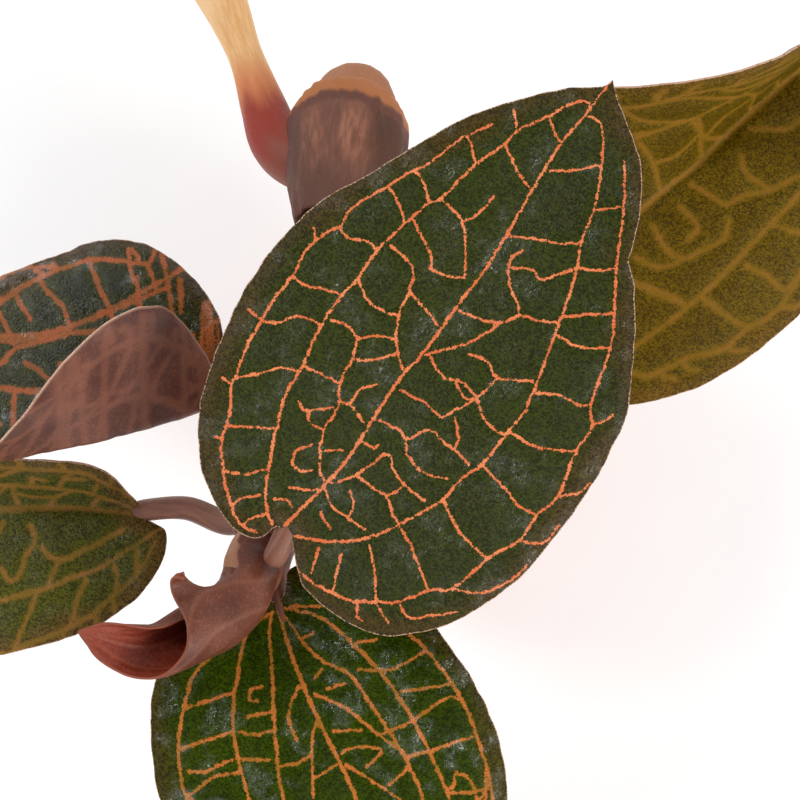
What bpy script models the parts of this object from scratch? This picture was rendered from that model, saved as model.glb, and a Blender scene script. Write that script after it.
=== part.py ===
"""A potted jewel orchid: a small clay pot of bark mix, a leaning stem and six leaves on clasping sheaths.

Lengths are in millimetres until mesh_object writes them in metres. +Z is up, the pot's base is centred
on the origin, and -Y is the side that the plant leans towards.
"""

import math
import random

import bpy
import numpy as np
from mathutils import Vector, geometry

# Driving dimensions, in millimetres
POT_HEIGHT = 46.0
POT_RIM_RADIUS = 24.4
POT_BASE_RADIUS = 17.0
POT_WALL = 3.0
POT_FLOOR = 3.6
COLLAR_HEIGHT = 10.0
COLLAR_STEP = 1.6
DRAIN_RADIUS = 2.2
DRAIN_CIRCLE = 9.0
DRAINS = 4
MIX_TOP = 41.5
MIX_MOUND = 2.2
MIX_RINGS = 10
CHIPS = 90
CHIP_RELIEF = 1.3
CHIP_SLOPE = 0.22
MIX_EDGE_DROP = 1.5
CLEARANCE = 0.3
BLADE_THICKNESS = 0.8
SHEATH_WALL = 0.9
PETIOLE_RADIUS = 1.05
# Where a leaf stalk ends: distances along the midrib and depths under it
PETIOLE_ENDS = (0.0, 2.2, 4.4)
PETIOLE_DEPTHS = (0.9, 0.65, 0.2)
# How finely a blade is bent, and how often its edge waves along its length
BEND_STEPS = 40
WAVE_TURN = 9.5
POT_SIDES = 40
STEM_SIDES = 12
ROOT_SIDES = 8
BURIED_SIDES = 6
MM = 0.001
SEED = 7

# The stem's centreline and radius, from its buried end to its growing tip
STEM_PATH = [
    (7.0, -4.0, 20.0, 2.9),
    (5.0, 1.0, 31.0, 3.2),
    (1.5, 7.0, 44.0, 3.1),
    (-1.8, 13.0, 60.0, 3.0),
    (-4.4, 19.0, 78.0, 3.1),
    (-6.2, 22.8, 89.0, 3.6),
    (-7.3, 21.0, 97.5, 3.9),
    (-8.0, 13.5, 103.0, 3.4),
    (-9.3, 3.5, 108.0, 3.1),
    (-11.2, -8.0, 114.0, 2.8),
    (-12.6, -17.5, 119.9, 2.4),
    (-13.9, -25.0, 124.8, 1.9),
    (-14.9, -28.0, 126.9, 1.6),
]
STEM_STEP = 3.0
# A tube's rounded end: how far each ring lies past it and how wide it is, in radii
DOME = ((0.5, 0.84), (0.85, 0.5))
ROOT_STEP = 3.4
NODE_SWELLING = 0.45
NODE_WIDTH = 1.3
# Where the stem's joints swell, as heights up the standing part of the stem
NODE_HEIGHTS = (56.0, 70.0, 83.0, 96.0)

# Fleshy roots in the mix, each from the buried stem outwards, and the one that hangs free behind the pot
BURIED_ROOTS = [
    [(6.0, -2.0, 25.0), (0.0, -8.0, 22.0), (-6.5, -9.5, 15.0), (-9.0, -5.0, 9.0)],
    [(5.8, -1.5, 26.0), (10.0, 4.0, 21.0), (8.5, 10.5, 15.0), (2.0, 12.0, 10.0)],
    [(3.2, 4.2, 38.0), (-5.0, 6.5, 34.0), (-11.5, 3.0, 27.0), (-12.0, -3.0, 20.0)],
]
BURIED_ROOT_RADIUS = 1.3
AERIAL_ROOT = [
    (-8.4, 14.2, 101.6),
    (-12.0, 14.0, 101.6),
    (-14.9, 16.4, 100.4),
    (-16.6, 21.0, 98.4),
    (-18.8, 27.4, 96.6),
    (-21.8, 35.0, 94.2),
    (-25.6, 42.0, 89.0),
    (-27.2, 45.6, 80.0),
    (-27.4, 45.8, 72.0),
]
AERIAL_ROOT_RADII = [3.4, 3.2, 2.9, 2.4, 1.85, 2.7, 2.6, 2.3, 1.5]

# Half outlines of a blade in lengths of its midrib: along it and out from it, from the base to the tip
HALVES = {
    "slim": [
        (-0.01, 0.01), (-0.04, 0.03), (-0.06, 0.05), (-0.056, 0.1), (-0.034, 0.15), (0.0, 0.198),
        (0.06, 0.25), (0.13, 0.285), (0.22, 0.312), (0.3, 0.326), (0.38, 0.33), (0.456, 0.322),
        (0.528, 0.303), (0.593, 0.277), (0.658, 0.248), (0.719, 0.219), (0.774, 0.19), (0.825, 0.159),
        (0.881, 0.115), (0.934, 0.066), (0.977, 0.02), (1.0, 0.0),
    ],
    "broad": [
        (-0.02, 0.03), (-0.047, 0.06), (-0.063, 0.094), (-0.068, 0.142), (-0.062, 0.191), (-0.045, 0.25),
        (-0.008, 0.292), (0.053, 0.333), (0.127, 0.362), (0.19, 0.379), (0.265, 0.384), (0.338, 0.384),
        (0.408, 0.38), (0.466, 0.369), (0.522, 0.353), (0.569, 0.33), (0.632, 0.293), (0.674, 0.264),
        (0.717, 0.228), (0.742, 0.205), (0.762, 0.197), (0.8, 0.183), (0.842, 0.163), (0.889, 0.132),
        (0.924, 0.097), (0.95, 0.062), (0.974, 0.028), (1.0, 0.0),
    ],
    "heart": [
        (-0.02, 0.03), (-0.055, 0.09), (-0.05, 0.17), (0.0, 0.26), (0.06, 0.325), (0.14, 0.37),
        (0.24, 0.384), (0.32, 0.376), (0.42, 0.345), (0.5, 0.315), (0.6, 0.272), (0.68, 0.23),
        (0.78, 0.165), (0.88, 0.09), (0.95, 0.04), (1.0, 0.0),
    ],
    "rolled": [
        (-0.01, 0.03), (-0.03, 0.11), (-0.01, 0.22), (0.05, 0.34), (0.1, 0.425), (0.16, 0.475),
        (0.22, 0.498), (0.3, 0.485), (0.36, 0.44), (0.43, 0.385), (0.5, 0.335), (0.58, 0.29),
        (0.66, 0.25), (0.75, 0.19), (0.85, 0.12), (0.93, 0.06), (1.0, 0.0),
    ],
    "tapered": [
        (-0.01, 0.02), (0.01, 0.08), (0.04, 0.2), (0.08, 0.27), (0.14, 0.3), (0.21, 0.308), (0.3, 0.308),
        (0.38, 0.306), (0.456, 0.3), (0.56, 0.28), (0.658, 0.245), (0.774, 0.19), (0.881, 0.115),
        (0.95, 0.05), (1.0, 0.0),
    ],
    "oval": [
        (0.0, 0.03), (-0.03, 0.08), (-0.02, 0.17), (0.04, 0.24), (0.12, 0.29), (0.2, 0.32), (0.3, 0.335),
        (0.41, 0.335), (0.53, 0.32), (0.64, 0.288), (0.75, 0.24), (0.85, 0.17), (0.93, 0.09), (1.0, 0.0),
    ],
    "furled_right": [
        (-0.03, 0.0), (0.0, 0.29), (0.12, 0.34), (0.3, 0.37), (0.45, 0.33), (0.58, 0.25), (0.72, 0.19),
        (0.86, 0.11), (0.94, 0.05), (1.0, 0.0),
    ],
    "furled_left": [
        (-0.03, 0.0), (-0.02, 0.3), (0.0, 0.4), (0.05, 0.44), (0.15, 0.46), (0.3, 0.49), (0.42, 0.52),
        (0.5, 0.57), (0.55, 0.66), (0.59, 0.71), (0.612, 0.64), (0.62, 0.5), (0.64, 0.38), (0.68, 0.29),
        (0.74, 0.2), (0.82, 0.13), (0.93, 0.06), (1.0, 0.0),
    ],
}

# Every open leaf: its midrib, the way its upper face looks, and for its right and left halves the outline,
# its width, the angle it starts at and how it curls. late_folds are the angles that a blade settles to
# along its length. roll tells where its left half rolls over, at the base and at the tip, the roll's radius
# and its full turn, and where that turn ends. stalk and sheath give the leaf stalk's middle points and the
# sheath's ends below the tip.
LEAVES = {
    "leaf_main": {
        "cell": 2.9,
        "midrib": [(-11.7, -27.6, 134.6), (-3.5, -17.9, 138.6), (5.4, -5.9, 141.4), (15.4, 8.8, 143.2)],
        "faces": (0.0, -0.17, 0.98),
        "halves": ("broad", "slim"),
        "widths": (1.0, 1.0),
        "folds": (9.0, 8.0),
        "curls": (-14.0, -12.0),
        "wave": 0.25,
        "stalk": [(-11.4, -25.6, 127.6), (-12.8, -29.7, 133.0)],
        "sheath": (1.2, 3.0),
    },
    "leaf_front": {
        "cell": 2.9,
        "midrib": [(-12.9, -33.2, 125.5), (-9.6, -42.6, 125.3), (-5.4, -52.7, 122.0), (1.3, -71.6, 112.6)],
        "faces": (0.0, -0.1, 1.0),
        "halves": ("slim", "slim"),
        "widths": (1.12, 0.97),
        "folds": (10.0, 12.0),
        "curls": (-26.0, -22.0),
        "wave": 0.7,
        "stalk": [(-12.0, -24.6, 120.2), (-13.2, -29.8, 122.9)],
        "sheath": (6.1, 8.4),
    },
    "leaf_left_lower": {
        "cell": 2.9,
        "midrib": [(-26.6, -24.0, 118.1), (-38.2, -23.9, 118.6), (-53.0, -24.0, 115.0),
                   (-73.0, -23.9, 105.6)],
        "faces": (0.0, 0.0, 1.0),
        "halves": ("tapered", "slim"),
        "widths": (0.42, 0.86),
        "folds": (56.0, -4.0),
        "curls": (2.0, -14.0),
        "wave": 0.5,
        "stalk": [(-17.6, -25.6, 121.6), (-21.8, -24.0, 119.4)],
        "sheath": (3.5, 5.6),
    },
    "leaf_left_upper": {
        "cell": 2.4,
        "midrib": [(-19.6, -14.1, 126.9), (-26.2, -14.7, 128.0), (-33.8, -14.6, 127.6),
                   (-42.8, -13.4, 125.4), (-51.8, -11.6, 121.8)],
        "faces": (0.0, -0.05, 1.0),
        "halves": ("heart", "rolled"),
        "widths": (1.08, 1.0),
        "folds": (12.0, -6.0),
        "curls": (-22.0, 0.0),
        "roll": (0.02, 0.265, 1.3, 172.0, 0.9),
        "wave": 0.3,
        "stalk": [(-15.2, -15.0, 120.4), (-15.4, -12.4, 126.0)],
        "sheath": (11.5, 21.0),
    },
    "leaf_right_back": {
        "cell": 2.9,
        "midrib": [(10.6, 1.3, 99.1), (24.0, 9.7, 102.5), (37.0, 21.7, 102.8), (51.4, 32.0, 98.8)],
        "faces": (0.0, -0.1, 1.0),
        "halves": ("broad", "oval"),
        "widths": (0.92, 0.96),
        "folds": (8.0, 6.0),
        "late_folds": (4.0, 89.0),
        "settled": 0.62,
        "curls": (-20.0, 0.0),
        "wave": 0.5,
        "stalk": [(-4.6, 0.2, 105.4), (2.6, -3.0, 98.2)],
        "sheath": (27.5, 38.0),
    },
}
# The young leaf: its midrib is the scroll's lowest line
FURLED = {
    "cell": 1.2,
    "midrib": [(-15.0, -29.2, 125.6), (-15.6, -31.2, 126.5), (-17.0, -33.6, 128.2), (-19.8, -35.8, 130.8),
               (-23.8, -37.4, 133.3), (-29.0, -36.3, 135.6)],
    "faces": (0.0, -0.17, 0.98),
    "halves": ("furled_right", "furled_left"),
    "widths": (1.0, 1.0),
    "wave": 0.0,
}
# Its scroll: radius and how that swells and thins along it, how fast each half winds outwards, where the
# lip starts and its radius, and the solid core at the stem's end
FURLED_RADIUS = 2.45
FURLED_TAPER = (0.84, 0.5, -0.62)
FURLED_SPREAD = (0.1, -0.085)
FURLED_LIP = (0.53, 1.2)
FURLED_CORE = (-1.6, 6.0)
FURLED_CORE_RADII = [1.7, 2.3, 2.6, 2.2, 1.4]
FURLED_CORE_HEIGHT = 0.88
OLD_SHEATH = (39.5, 56.0)
# The old sheath's wall at its ends, how much more it stands off the stem between them, and where most
OLD_SHEATH_WALL = (0.35, 2.2)
OLD_SHEATH_PEAK = 0.62

COLOURS = {
    "clay": (0.42, 0.19, 0.10),
    "bark": (0.10, 0.055, 0.03),
    "stem": (0.28, 0.12, 0.08),
    "husk": (0.30, 0.17, 0.11),
    "root": (0.62, 0.36, 0.15),
    "blade": (0.045, 0.06, 0.02),
    "young_blade": (0.22, 0.07, 0.05),
}
ROUGHNESS = {
    "clay": 0.85, "bark": 0.95, "stem": 0.5, "husk": 0.8, "root": 0.55, "blade": 0.4, "young_blade": 0.45,
}


def clear_scene():
    for thing in list(bpy.data.objects):
        bpy.data.objects.remove(thing, do_unlink=True)


def material(name):
    """A plain surface of the named colour."""
    made = bpy.data.materials.get(name)
    if made is None:
        made = bpy.data.materials.new(name)
        made.use_nodes = True
        shader = made.node_tree.nodes["Principled BSDF"]
        shader.inputs["Base Color"].default_value = (*COLOURS[name], 1.0)
        shader.inputs["Roughness"].default_value = ROUGHNESS[name]
        shader.inputs["Metallic"].default_value = 0.0
    return made


def mesh_object(name, points, faces, surface):
    """An object made of points in millimetres and faces given by their corners."""
    mesh = bpy.data.meshes.new(name)
    mesh.from_pydata([tuple(float(c) * MM for c in p) for p in points], [], [tuple(f) for f in faces])
    mesh.validate()
    mesh.materials.append(material(surface))
    mesh.shade_smooth()
    made = bpy.data.objects.new(name, mesh)
    bpy.context.scene.collection.objects.link(made)
    return made


def helper_object(name, points, faces, surface):
    """A piece that is only joined to others or cut from them."""
    made = mesh_object(name, points, faces, surface)
    made.hide_render = True
    made.display_type = "WIRE"
    return made


def combine(name, first, added, cut, surface):
    """One solid: the first piece, joined to the added ones, with the cut ones taken away."""
    for operation, others in (("UNION", added), ("DIFFERENCE", cut)):
        for other in others:
            modifier = first.modifiers.new(operation.title(), "BOOLEAN")
            modifier.operation = operation
            modifier.object = other
            modifier.solver = "EXACT"
    graph = bpy.context.evaluated_depsgraph_get()
    mesh = bpy.data.meshes.new_from_object(first.evaluated_get(graph))
    mesh.name = name
    mesh.materials.clear()
    mesh.materials.append(material(surface))
    made = bpy.data.objects.new(name, mesh)
    bpy.context.scene.collection.objects.link(made)
    for helper in [first, *added]:
        bpy.data.objects.remove(helper, do_unlink=True)
    return made


def dense_curve(control, per_span=24):
    """A Catmull-Rom curve through the control rows, which may carry a radius after their place."""
    rows = np.array(control, float)
    padded = np.vstack([2 * rows[0] - rows[1], rows, 2 * rows[-1] - rows[-2]])
    out = []
    for a, b, c, d in zip(padded, padded[1:], padded[2:], padded[3:]):
        square, cube = 2 * a - 5 * b + 4 * c - d, 3 * b - a - 3 * c + d
        for t in np.arange(per_span) / per_span:
            out.append(0.5 * (2 * b + (c - a) * t + square * t**2 + cube * t**3))
    return np.vstack([out, rows[-1]])


def arc_lengths(points):
    return np.concatenate([[0.0], np.cumsum(np.linalg.norm(np.diff(points, axis=0), axis=1))])


def resample(curve, step, dimensions):
    """The curve's rows at equal distances of about step, measured in its first dimensions."""
    along = arc_lengths(curve[:, :dimensions])
    count = max(2, round(along[-1] / step))
    wanted = np.linspace(0.0, along[-1], count + 1)
    return np.column_stack([np.interp(wanted, along, column) for column in curve.T])


def unit(vectors):
    return vectors / np.linalg.norm(vectors, axis=-1, keepdims=True)


def frames(path):
    """Two directions across the path at each of its points, turned as little as possible along it."""
    tangents = unit(np.gradient(path, axis=0))
    across = np.cross(tangents[0], (0.0, 0.0, 1.0))
    if np.linalg.norm(across) < 0.1:
        across = np.cross(tangents[0], (1.0, 0.0, 0.0))
    sides = []
    for tangent in tangents:
        across = unit(across - tangent * (across @ tangent))
        sides.append((across, np.cross(tangent, across)))
    return sides


def tube(path, radii, sides):
    """Points and faces of a closed tube round the path."""
    points, faces = [], []
    turns = np.arange(sides) * 2 * math.pi / sides
    for place, radius, (across, over) in zip(path, radii, frames(path)):
        for turn in turns:
            points.append(place + radius * (math.cos(turn) * across + math.sin(turn) * over))
    for row in range(len(path) - 1):
        for k in range(sides):
            a, b = row * sides + k, row * sides + (k + 1) % sides
            faces.append((a, b, b + sides, a + sides))
    last = (len(path) - 1) * sides
    faces.append(tuple(reversed(range(sides))))
    faces.append(tuple(range(last, last + sides)))
    return points, faces


def rounded_ends(rows, radius_column=3):
    """The rows with smaller ones added at both ends, so that the tube closes in a dome."""
    domes = []
    for end, neighbour in ((rows[0], rows[1]), (rows[-1], rows[-2])):
        away = unit(end[:3] - neighbour[:3])
        dome = []
        for reach, share in DOME:
            row = end.copy()
            row[:3] = end[:3] + away * reach * end[radius_column]
            row[radius_column] = share * end[radius_column]
            dome.append(row)
        domes.append(dome)
    return np.array([*domes[0][::-1], *rows, *domes[1]])


def stem_rows(grow):
    """The stem's centreline and radii, with its joints swollen and the whole fattened by grow."""
    rows = resample(dense_curve(STEM_PATH), STEM_STEP, 3)
    for height in NODE_HEIGHTS:
        rows[:, 3] += NODE_SWELLING * np.exp(-(((rows[:, 2] - height) / NODE_WIDTH) ** 2))
    rows = rounded_ends(rows)
    rows[:, 3] += grow
    return rows


def stem_piece(name, grow):
    rows = stem_rows(grow)
    return helper_object(name, *tube(rows[:, :3], rows[:, 3], STEM_SIDES), "stem")


def root_piece(name, control, radii, grow, sides):
    rows = np.column_stack([control, radii])
    rows = rounded_ends(resample(dense_curve(rows), ROOT_STEP, 3))
    rows[:, 3] += grow
    return helper_object(name, *tube(rows[:, :3], rows[:, 3], sides), "root")


def buried_root_pieces(grow):
    radii = np.linspace(BURIED_ROOT_RADIUS, 0.7 * BURIED_ROOT_RADIUS, 4)
    return [
        root_piece(f"buried_root_{i}", control, radii, grow, BURIED_SIDES)
        for i, control in enumerate(BURIED_ROOTS)
    ]


def turned(profile, sides):
    """Points and faces of a profile of (radius, height) turned round Z, from the axis and back to it."""
    points, faces = [], []
    rings = profile[1:-1]
    for radius, height in rings:
        for k in range(sides):
            turn = 2 * math.pi * k / sides
            points.append((radius * math.cos(turn), radius * math.sin(turn), height))
    for row in range(len(rings) - 1):
        for k in range(sides):
            a, b = row * sides + k, row * sides + (k + 1) % sides
            faces.append((a, b, b + sides, a + sides))
    start, end = len(points), len(points) + 1
    points += [(0.0, 0.0, profile[0][1]), (0.0, 0.0, profile[-1][1])]
    last = (len(rings) - 1) * sides
    for k in range(sides):
        follow = (k + 1) % sides
        faces.append((start, follow, k))
        faces.append((end, last + k, last + follow))
    return points, faces


def pot_inner_radius(height):
    """The radius of the pot's inside at a height above its floor."""
    share = (height - POT_FLOOR) / (POT_HEIGHT - POT_FLOOR)
    bottom = POT_BASE_RADIUS - POT_WALL
    return bottom + share * (POT_RIM_RADIUS - POT_WALL - bottom)


def pot_profile():
    """From the middle of the base out, up the side, over the rim and down the inside to the floor."""
    shoulder = POT_HEIGHT - COLLAR_HEIGHT
    body_top = POT_RIM_RADIUS - COLLAR_STEP - 0.6
    inner_bottom = pot_inner_radius(POT_FLOOR)
    inner_top = pot_inner_radius(POT_HEIGHT)
    return [
        (0.0, 0.0),
        (POT_BASE_RADIUS - 0.6, 0.0),
        (POT_BASE_RADIUS, 0.6),
        (body_top, shoulder),
        (POT_RIM_RADIUS - 0.7, shoulder + 0.6),
        (POT_RIM_RADIUS, POT_HEIGHT - 1.0),
        (POT_RIM_RADIUS - 0.5, POT_HEIGHT - 0.2),
        (POT_RIM_RADIUS - 1.2, POT_HEIGHT),
        (inner_top + 0.7, POT_HEIGHT),
        (inner_top, POT_HEIGHT - 0.8),
        (inner_bottom + 0.5, POT_FLOOR + 1.0),
        (inner_bottom - 0.8, POT_FLOOR),
        (0.0, POT_FLOOR),
    ]


def make_pot():
    body = helper_object("pot_body", *turned(pot_profile(), POT_SIDES), "clay")
    drains = []
    for k in range(DRAINS):
        turn = math.pi / DRAINS + 2 * math.pi * k / DRAINS
        place = np.array([DRAIN_CIRCLE * math.cos(turn), DRAIN_CIRCLE * math.sin(turn), -2.0])
        path = np.array([place, place + (0.0, 0.0, POT_FLOOR + 4.0)])
        drains.append(helper_object(f"drain_{k}", *tube(path, [DRAIN_RADIUS] * 2, STEM_SIDES), "clay"))
    combine("pot", body, [], drains, "clay")
    for drain in drains:
        bpy.data.objects.remove(drain, do_unlink=True)


def chip_field(dice):
    """Seeded chips over the mix: each has a middle, a height and a slope."""
    chips = []
    for _ in range(CHIPS):
        turn, reach = dice.uniform(0, 2 * math.pi), math.sqrt(dice.random()) * POT_RIM_RADIUS
        slope = (dice.uniform(-CHIP_SLOPE, CHIP_SLOPE), dice.uniform(-CHIP_SLOPE, CHIP_SLOPE))
        chips.append((reach * math.cos(turn), reach * math.sin(turn), dice.uniform(-1, 1), *slope))
    return chips


def mix_height(x, y, chips):
    """The mix's top: a low mound, broken up by the chip that lies nearest."""
    near = min(chips, key=lambda chip: (x - chip[0]) ** 2 + (y - chip[1]) ** 2)
    relief = CHIP_RELIEF * 0.5 * near[2] + near[3] * (x - near[0]) + near[4] * (y - near[1])
    relief = max(-CHIP_RELIEF, min(CHIP_RELIEF, relief))
    share = math.hypot(x, y) / pot_inner_radius(MIX_TOP)
    return MIX_TOP + MIX_MOUND * max(0.0, 1 - share * share) + relief


def make_potting_mix():
    chips = chip_field(random.Random(SEED))
    bottom = POT_FLOOR + CLEARANCE
    top_rim = pot_inner_radius(MIX_TOP - MIX_EDGE_DROP) - CLEARANCE
    profile = [(0.0, bottom), (pot_inner_radius(bottom) - 1.4, bottom),
               (pot_inner_radius(bottom + 1.2) - CLEARANCE, bottom + 1.2), (top_rim, MIX_TOP - MIX_EDGE_DROP)]
    for ring in range(MIX_RINGS):
        profile.append(((top_rim - 0.35) * (1 - ring / MIX_RINGS), MIX_TOP))
    profile.append((0.0, MIX_TOP))
    points, faces = turned(profile, POT_SIDES)
    raised = []
    for x, y, z in points:
        raised.append((x, y, mix_height(x, y, chips) if z == MIX_TOP else z))
    body = helper_object("mix_body", raised, faces, "bark")
    cutters = [stem_piece("stem_room", CLEARANCE), *buried_root_pieces(CLEARANCE)]
    combine("potting_mix", body, [], cutters, "bark")
    for cutter in cutters:
        bpy.data.objects.remove(cutter, do_unlink=True)


def make_stem():
    combine("stem", stem_piece("stem_body", 0.0), buried_root_pieces(0.0), [], "stem")


def below_tip(start, end):
    """The stem's rows between two distances below its growing tip, evenly spaced."""
    rows = resample(dense_curve(STEM_PATH), 0.5, 3)
    along = arc_lengths(rows[:, :3])
    wanted = along[-1] - np.linspace(end, start, max(3, round((end - start) / 1.6) + 1))
    return np.column_stack([np.interp(wanted, along, column) for column in rows.T])


def make_aerial_root(stem_room):
    root = root_piece("root_body", AERIAL_ROOT, AERIAL_ROOT_RADII, 0.0, ROOT_SIDES)
    combine("aerial_root", root, [], [stem_room], "root")


def make_old_sheath(stem_room, root_room):
    rows = below_tip(*OLD_SHEATH)
    share = np.linspace(0.0, 1.0, len(rows))
    rim, bulge = OLD_SHEATH_WALL
    radii = rows[:, 3] + CLEARANCE + rim + bulge * np.sin(math.pi * share**OLD_SHEATH_PEAK)
    sheath = helper_object("husk_body", *tube(rows[:, :3], radii, STEM_SIDES), "husk")
    combine("old_sheath", sheath, [], [stem_room, root_room], "husk")


def outline_points(length, form):
    """The form's closed outline in millimetres, from the tip round the left side and back."""
    right, left = (np.array(HALVES[half]) * length for half in form["halves"])
    right[:, 1] *= form["widths"][0]
    left[:, 1] *= -form["widths"][1]
    return resample(dense_curve(np.vstack([left[::-1], right])), form["cell"], 2)[:-1]


def inside(point, loop):
    """Whether the point lies in the loop, and how far it is from the loop."""
    a, b = loop, np.roll(loop, -1, axis=0)
    crosses = (a[:, 1] > point[1]) != (b[:, 1] > point[1])
    rise = np.where(crosses, b[:, 1] - a[:, 1], 1.0)
    meets = a[:, 0] + (point[1] - a[:, 1]) * (b[:, 0] - a[:, 0]) / rise
    within = np.count_nonzero(crosses & (point[0] < meets)) % 2 == 1
    edge = b - a
    share = np.clip(((point - a) * edge).sum(axis=1) / (edge**2).sum(axis=1), 0.0, 1.0)
    distance = np.linalg.norm(a + edge * share[:, None] - point, axis=1).min()
    return within, distance


def flat_blade(loop, cell):
    """Even triangles that fill the loop: points in the flat, and faces."""
    low, high = loop.min(axis=0), loop.max(axis=0)
    points = [Vector(p) for p in loop]
    row_gap = cell * math.sqrt(3) / 2
    for row in range(int((high[1] - low[1]) / row_gap) + 2):
        for column in range(int((high[0] - low[0]) / cell) + 2):
            place = low + ((column + 0.5 * (row % 2)) * cell, row * row_gap)
            within, distance = inside(place, loop)
            if within and distance > 0.55 * cell:
                points.append(Vector(place))
    edges = [(k, (k + 1) % len(loop)) for k in range(len(loop))]
    made = geometry.delaunay_2d_cdt(points, edges, [], 1, 1e-6)
    return np.array([tuple(p) for p in made[0]]), [tuple(face) for face in made[2]]


def midrib_frames(form, along):
    """Place, forward, right and up at distances along a midrib, which runs straight on past its ends."""
    curve = dense_curve(form["midrib"])
    lengths = arc_lengths(curve)
    ahead = unit(np.gradient(curve, axis=0))
    held = np.clip(along, 0.0, lengths[-1])
    place = np.column_stack([np.interp(held, lengths, column) for column in curve.T])
    forward = unit(np.column_stack([np.interp(held, lengths, column) for column in ahead.T]))
    place += forward * (along - held)[:, None]
    right = unit(np.cross(forward, np.array(form["faces"], float)))
    return place, forward, right, np.cross(right, forward)


def half_turn(form, along, across, reach, length):
    """The angle between a blade's half and its flat, at a reach out from the midrib."""
    right_side = across >= 0
    share = np.clip(along / length, 0.0, 1.0)
    settling = np.clip(share / form.get("settled", 1.0), 0.0, 1.0)
    settling = settling * settling * (3 - 2 * settling)
    folds = np.where(right_side, *form["folds"])
    late_folds = np.where(right_side, *form.get("late_folds", form["folds"]))
    curl = np.where(right_side, *form["curls"])
    angle = np.radians(folds + (late_folds - folds) * settling) + np.radians(curl) * reach / (0.3 * length)
    if "roll" in form:
        near, far, radius, most, end = form["roll"]
        start = length * (near + (far - near) * share)
        most = math.radians(most) * (1 - np.clip(share / end, 0.0, 1.0) ** 1.3)
        angle = angle + np.where(right_side, 0.0, np.clip((reach - start) / radius, 0.0, most))
    return angle


def furled_radius(share):
    """The scroll's radius at a share of the young blade's length."""
    start, swelling, thinning = FURLED_TAPER
    return FURLED_RADIUS * (start + swelling * share + thinning * share**2)


def furled_turn(form, along, across, reach, length):
    """The angle of the young blade's scroll, whose left half ends in a lip that curls outwards."""
    right_side = across >= 0
    radius = furled_radius(np.clip(along / length, 0.0, 1.0))
    spread = np.where(right_side, FURLED_SPREAD[1], FURLED_SPREAD[0])
    angle = np.log(1 + spread * reach / radius) / spread
    lip_start, lip_radius = FURLED_LIP[0] * length, FURLED_LIP[1]
    return angle - np.where(right_side, 0.0, np.maximum(0.0, reach - lip_start) * (1 / lip_radius + 0.3))


def bend(flat, form, turn, length):
    """Carries flat points (along, across) into space, with each half turned about the midrib."""
    along, across = flat[:, 0], flat[:, 1]
    place, _, right, up = midrib_frames(form, along)
    side = np.zeros(len(flat))
    height = np.zeros(len(flat))
    for k in range(BEND_STEPS):
        reach = np.abs(across) * (k + 0.5) / BEND_STEPS
        angle = turn(form, along, across, reach, length)
        side += np.cos(angle) * np.abs(across) / BEND_STEPS
        height += np.sin(angle) * np.abs(across) / BEND_STEPS
    share = np.abs(across) / (0.35 * length)
    wave = np.sin(WAVE_TURN * along / length + np.sign(across))
    height += form["wave"] * np.minimum(share, 1.2) ** 2 * wave
    return place + right * (side * np.sign(across))[:, None] + up * height[:, None]


def thickened(middle, faces, thickness):
    """A closed solid from a triangulated sheet: its two faces, split alike, and its edge."""
    normals = np.zeros_like(middle)
    for a, b, c in faces:
        facing = np.cross(middle[b] - middle[a], middle[c] - middle[a])
        for corner in (a, b, c):
            normals[corner] += facing
    normals = unit(normals)
    count = len(middle)
    points = np.vstack([middle + normals * thickness / 2, middle - normals * thickness / 2])
    solid = list(faces) + [(c + count, b + count, a + count) for a, b, c in faces]
    edges = {(a, b) for face in faces for a, b in zip(face, face[1:] + face[:1])}
    for a, b in sorted(edges):
        if (b, a) not in edges:
            solid.append((b, a, a + count, b + count))
    return points, solid


def blade_solid(form, turn):
    length = arc_lengths(dense_curve(form["midrib"]))[-1]
    flat, faces = flat_blade(outline_points(length, form), form["cell"])
    # The flat's right-hand side is its +Y, so its faces are turned round to look up.
    faces = [tuple(reversed(face)) for face in faces]
    return thickened(bend(flat, form, turn, length), faces, BLADE_THICKNESS)


def stalk_rows(form):
    """A leaf stalk from the stem's middle to the blade, which it runs into under the midrib."""
    start = below_tip(*form["sheath"])
    begin = start[len(start) // 2, :3]
    place, _, _, up = midrib_frames(form, np.array(PETIOLE_ENDS))
    place -= up * np.array(PETIOLE_DEPTHS)[:, None]
    rows = dense_curve([begin, *form["stalk"], *place])
    rows = resample(rows, 1.8, 3)
    share = np.linspace(0.0, 1.0, len(rows))
    radii = PETIOLE_RADIUS * (1.12 - 0.2 * share) * np.clip((1 - share) / 0.22, 0.3, 1.0)
    return rows, radii


def make_leaf(name, form, stem_room):
    """A blade, its stalk and the sheath that clasps the stem, grown as one piece."""
    blade = helper_object(name + "_blade", *blade_solid(form, half_turn), "blade")
    stalk = helper_object(name + "_stalk", *tube(*stalk_rows(form), ROOT_SIDES), "blade")
    rows = below_tip(*form["sheath"])
    radii = rows[:, 3] + CLEARANCE + np.linspace(0.6, 1.0, len(rows)) * SHEATH_WALL
    sheath = helper_object(name + "_sheath", *tube(rows[:, :3], radii, STEM_SIDES), "blade")
    combine(name, blade, [stalk, sheath], [stem_room], "blade")


def make_furled_leaf(stem_room):
    """The young leaf, rolled up round a core at the end of the stem."""
    form = FURLED
    blade = helper_object("furled_blade", *blade_solid(form, furled_turn), "young_blade")
    along = np.linspace(*FURLED_CORE, len(FURLED_CORE_RADII))
    place, _, _, up = midrib_frames(form, along)
    core_path = place + up * FURLED_RADIUS * FURLED_CORE_HEIGHT
    core = helper_object("furled_core", *tube(core_path, FURLED_CORE_RADII, STEM_SIDES), "young_blade")
    combine("leaf_furled", blade, [core], [stem_room], "young_blade")


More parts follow.
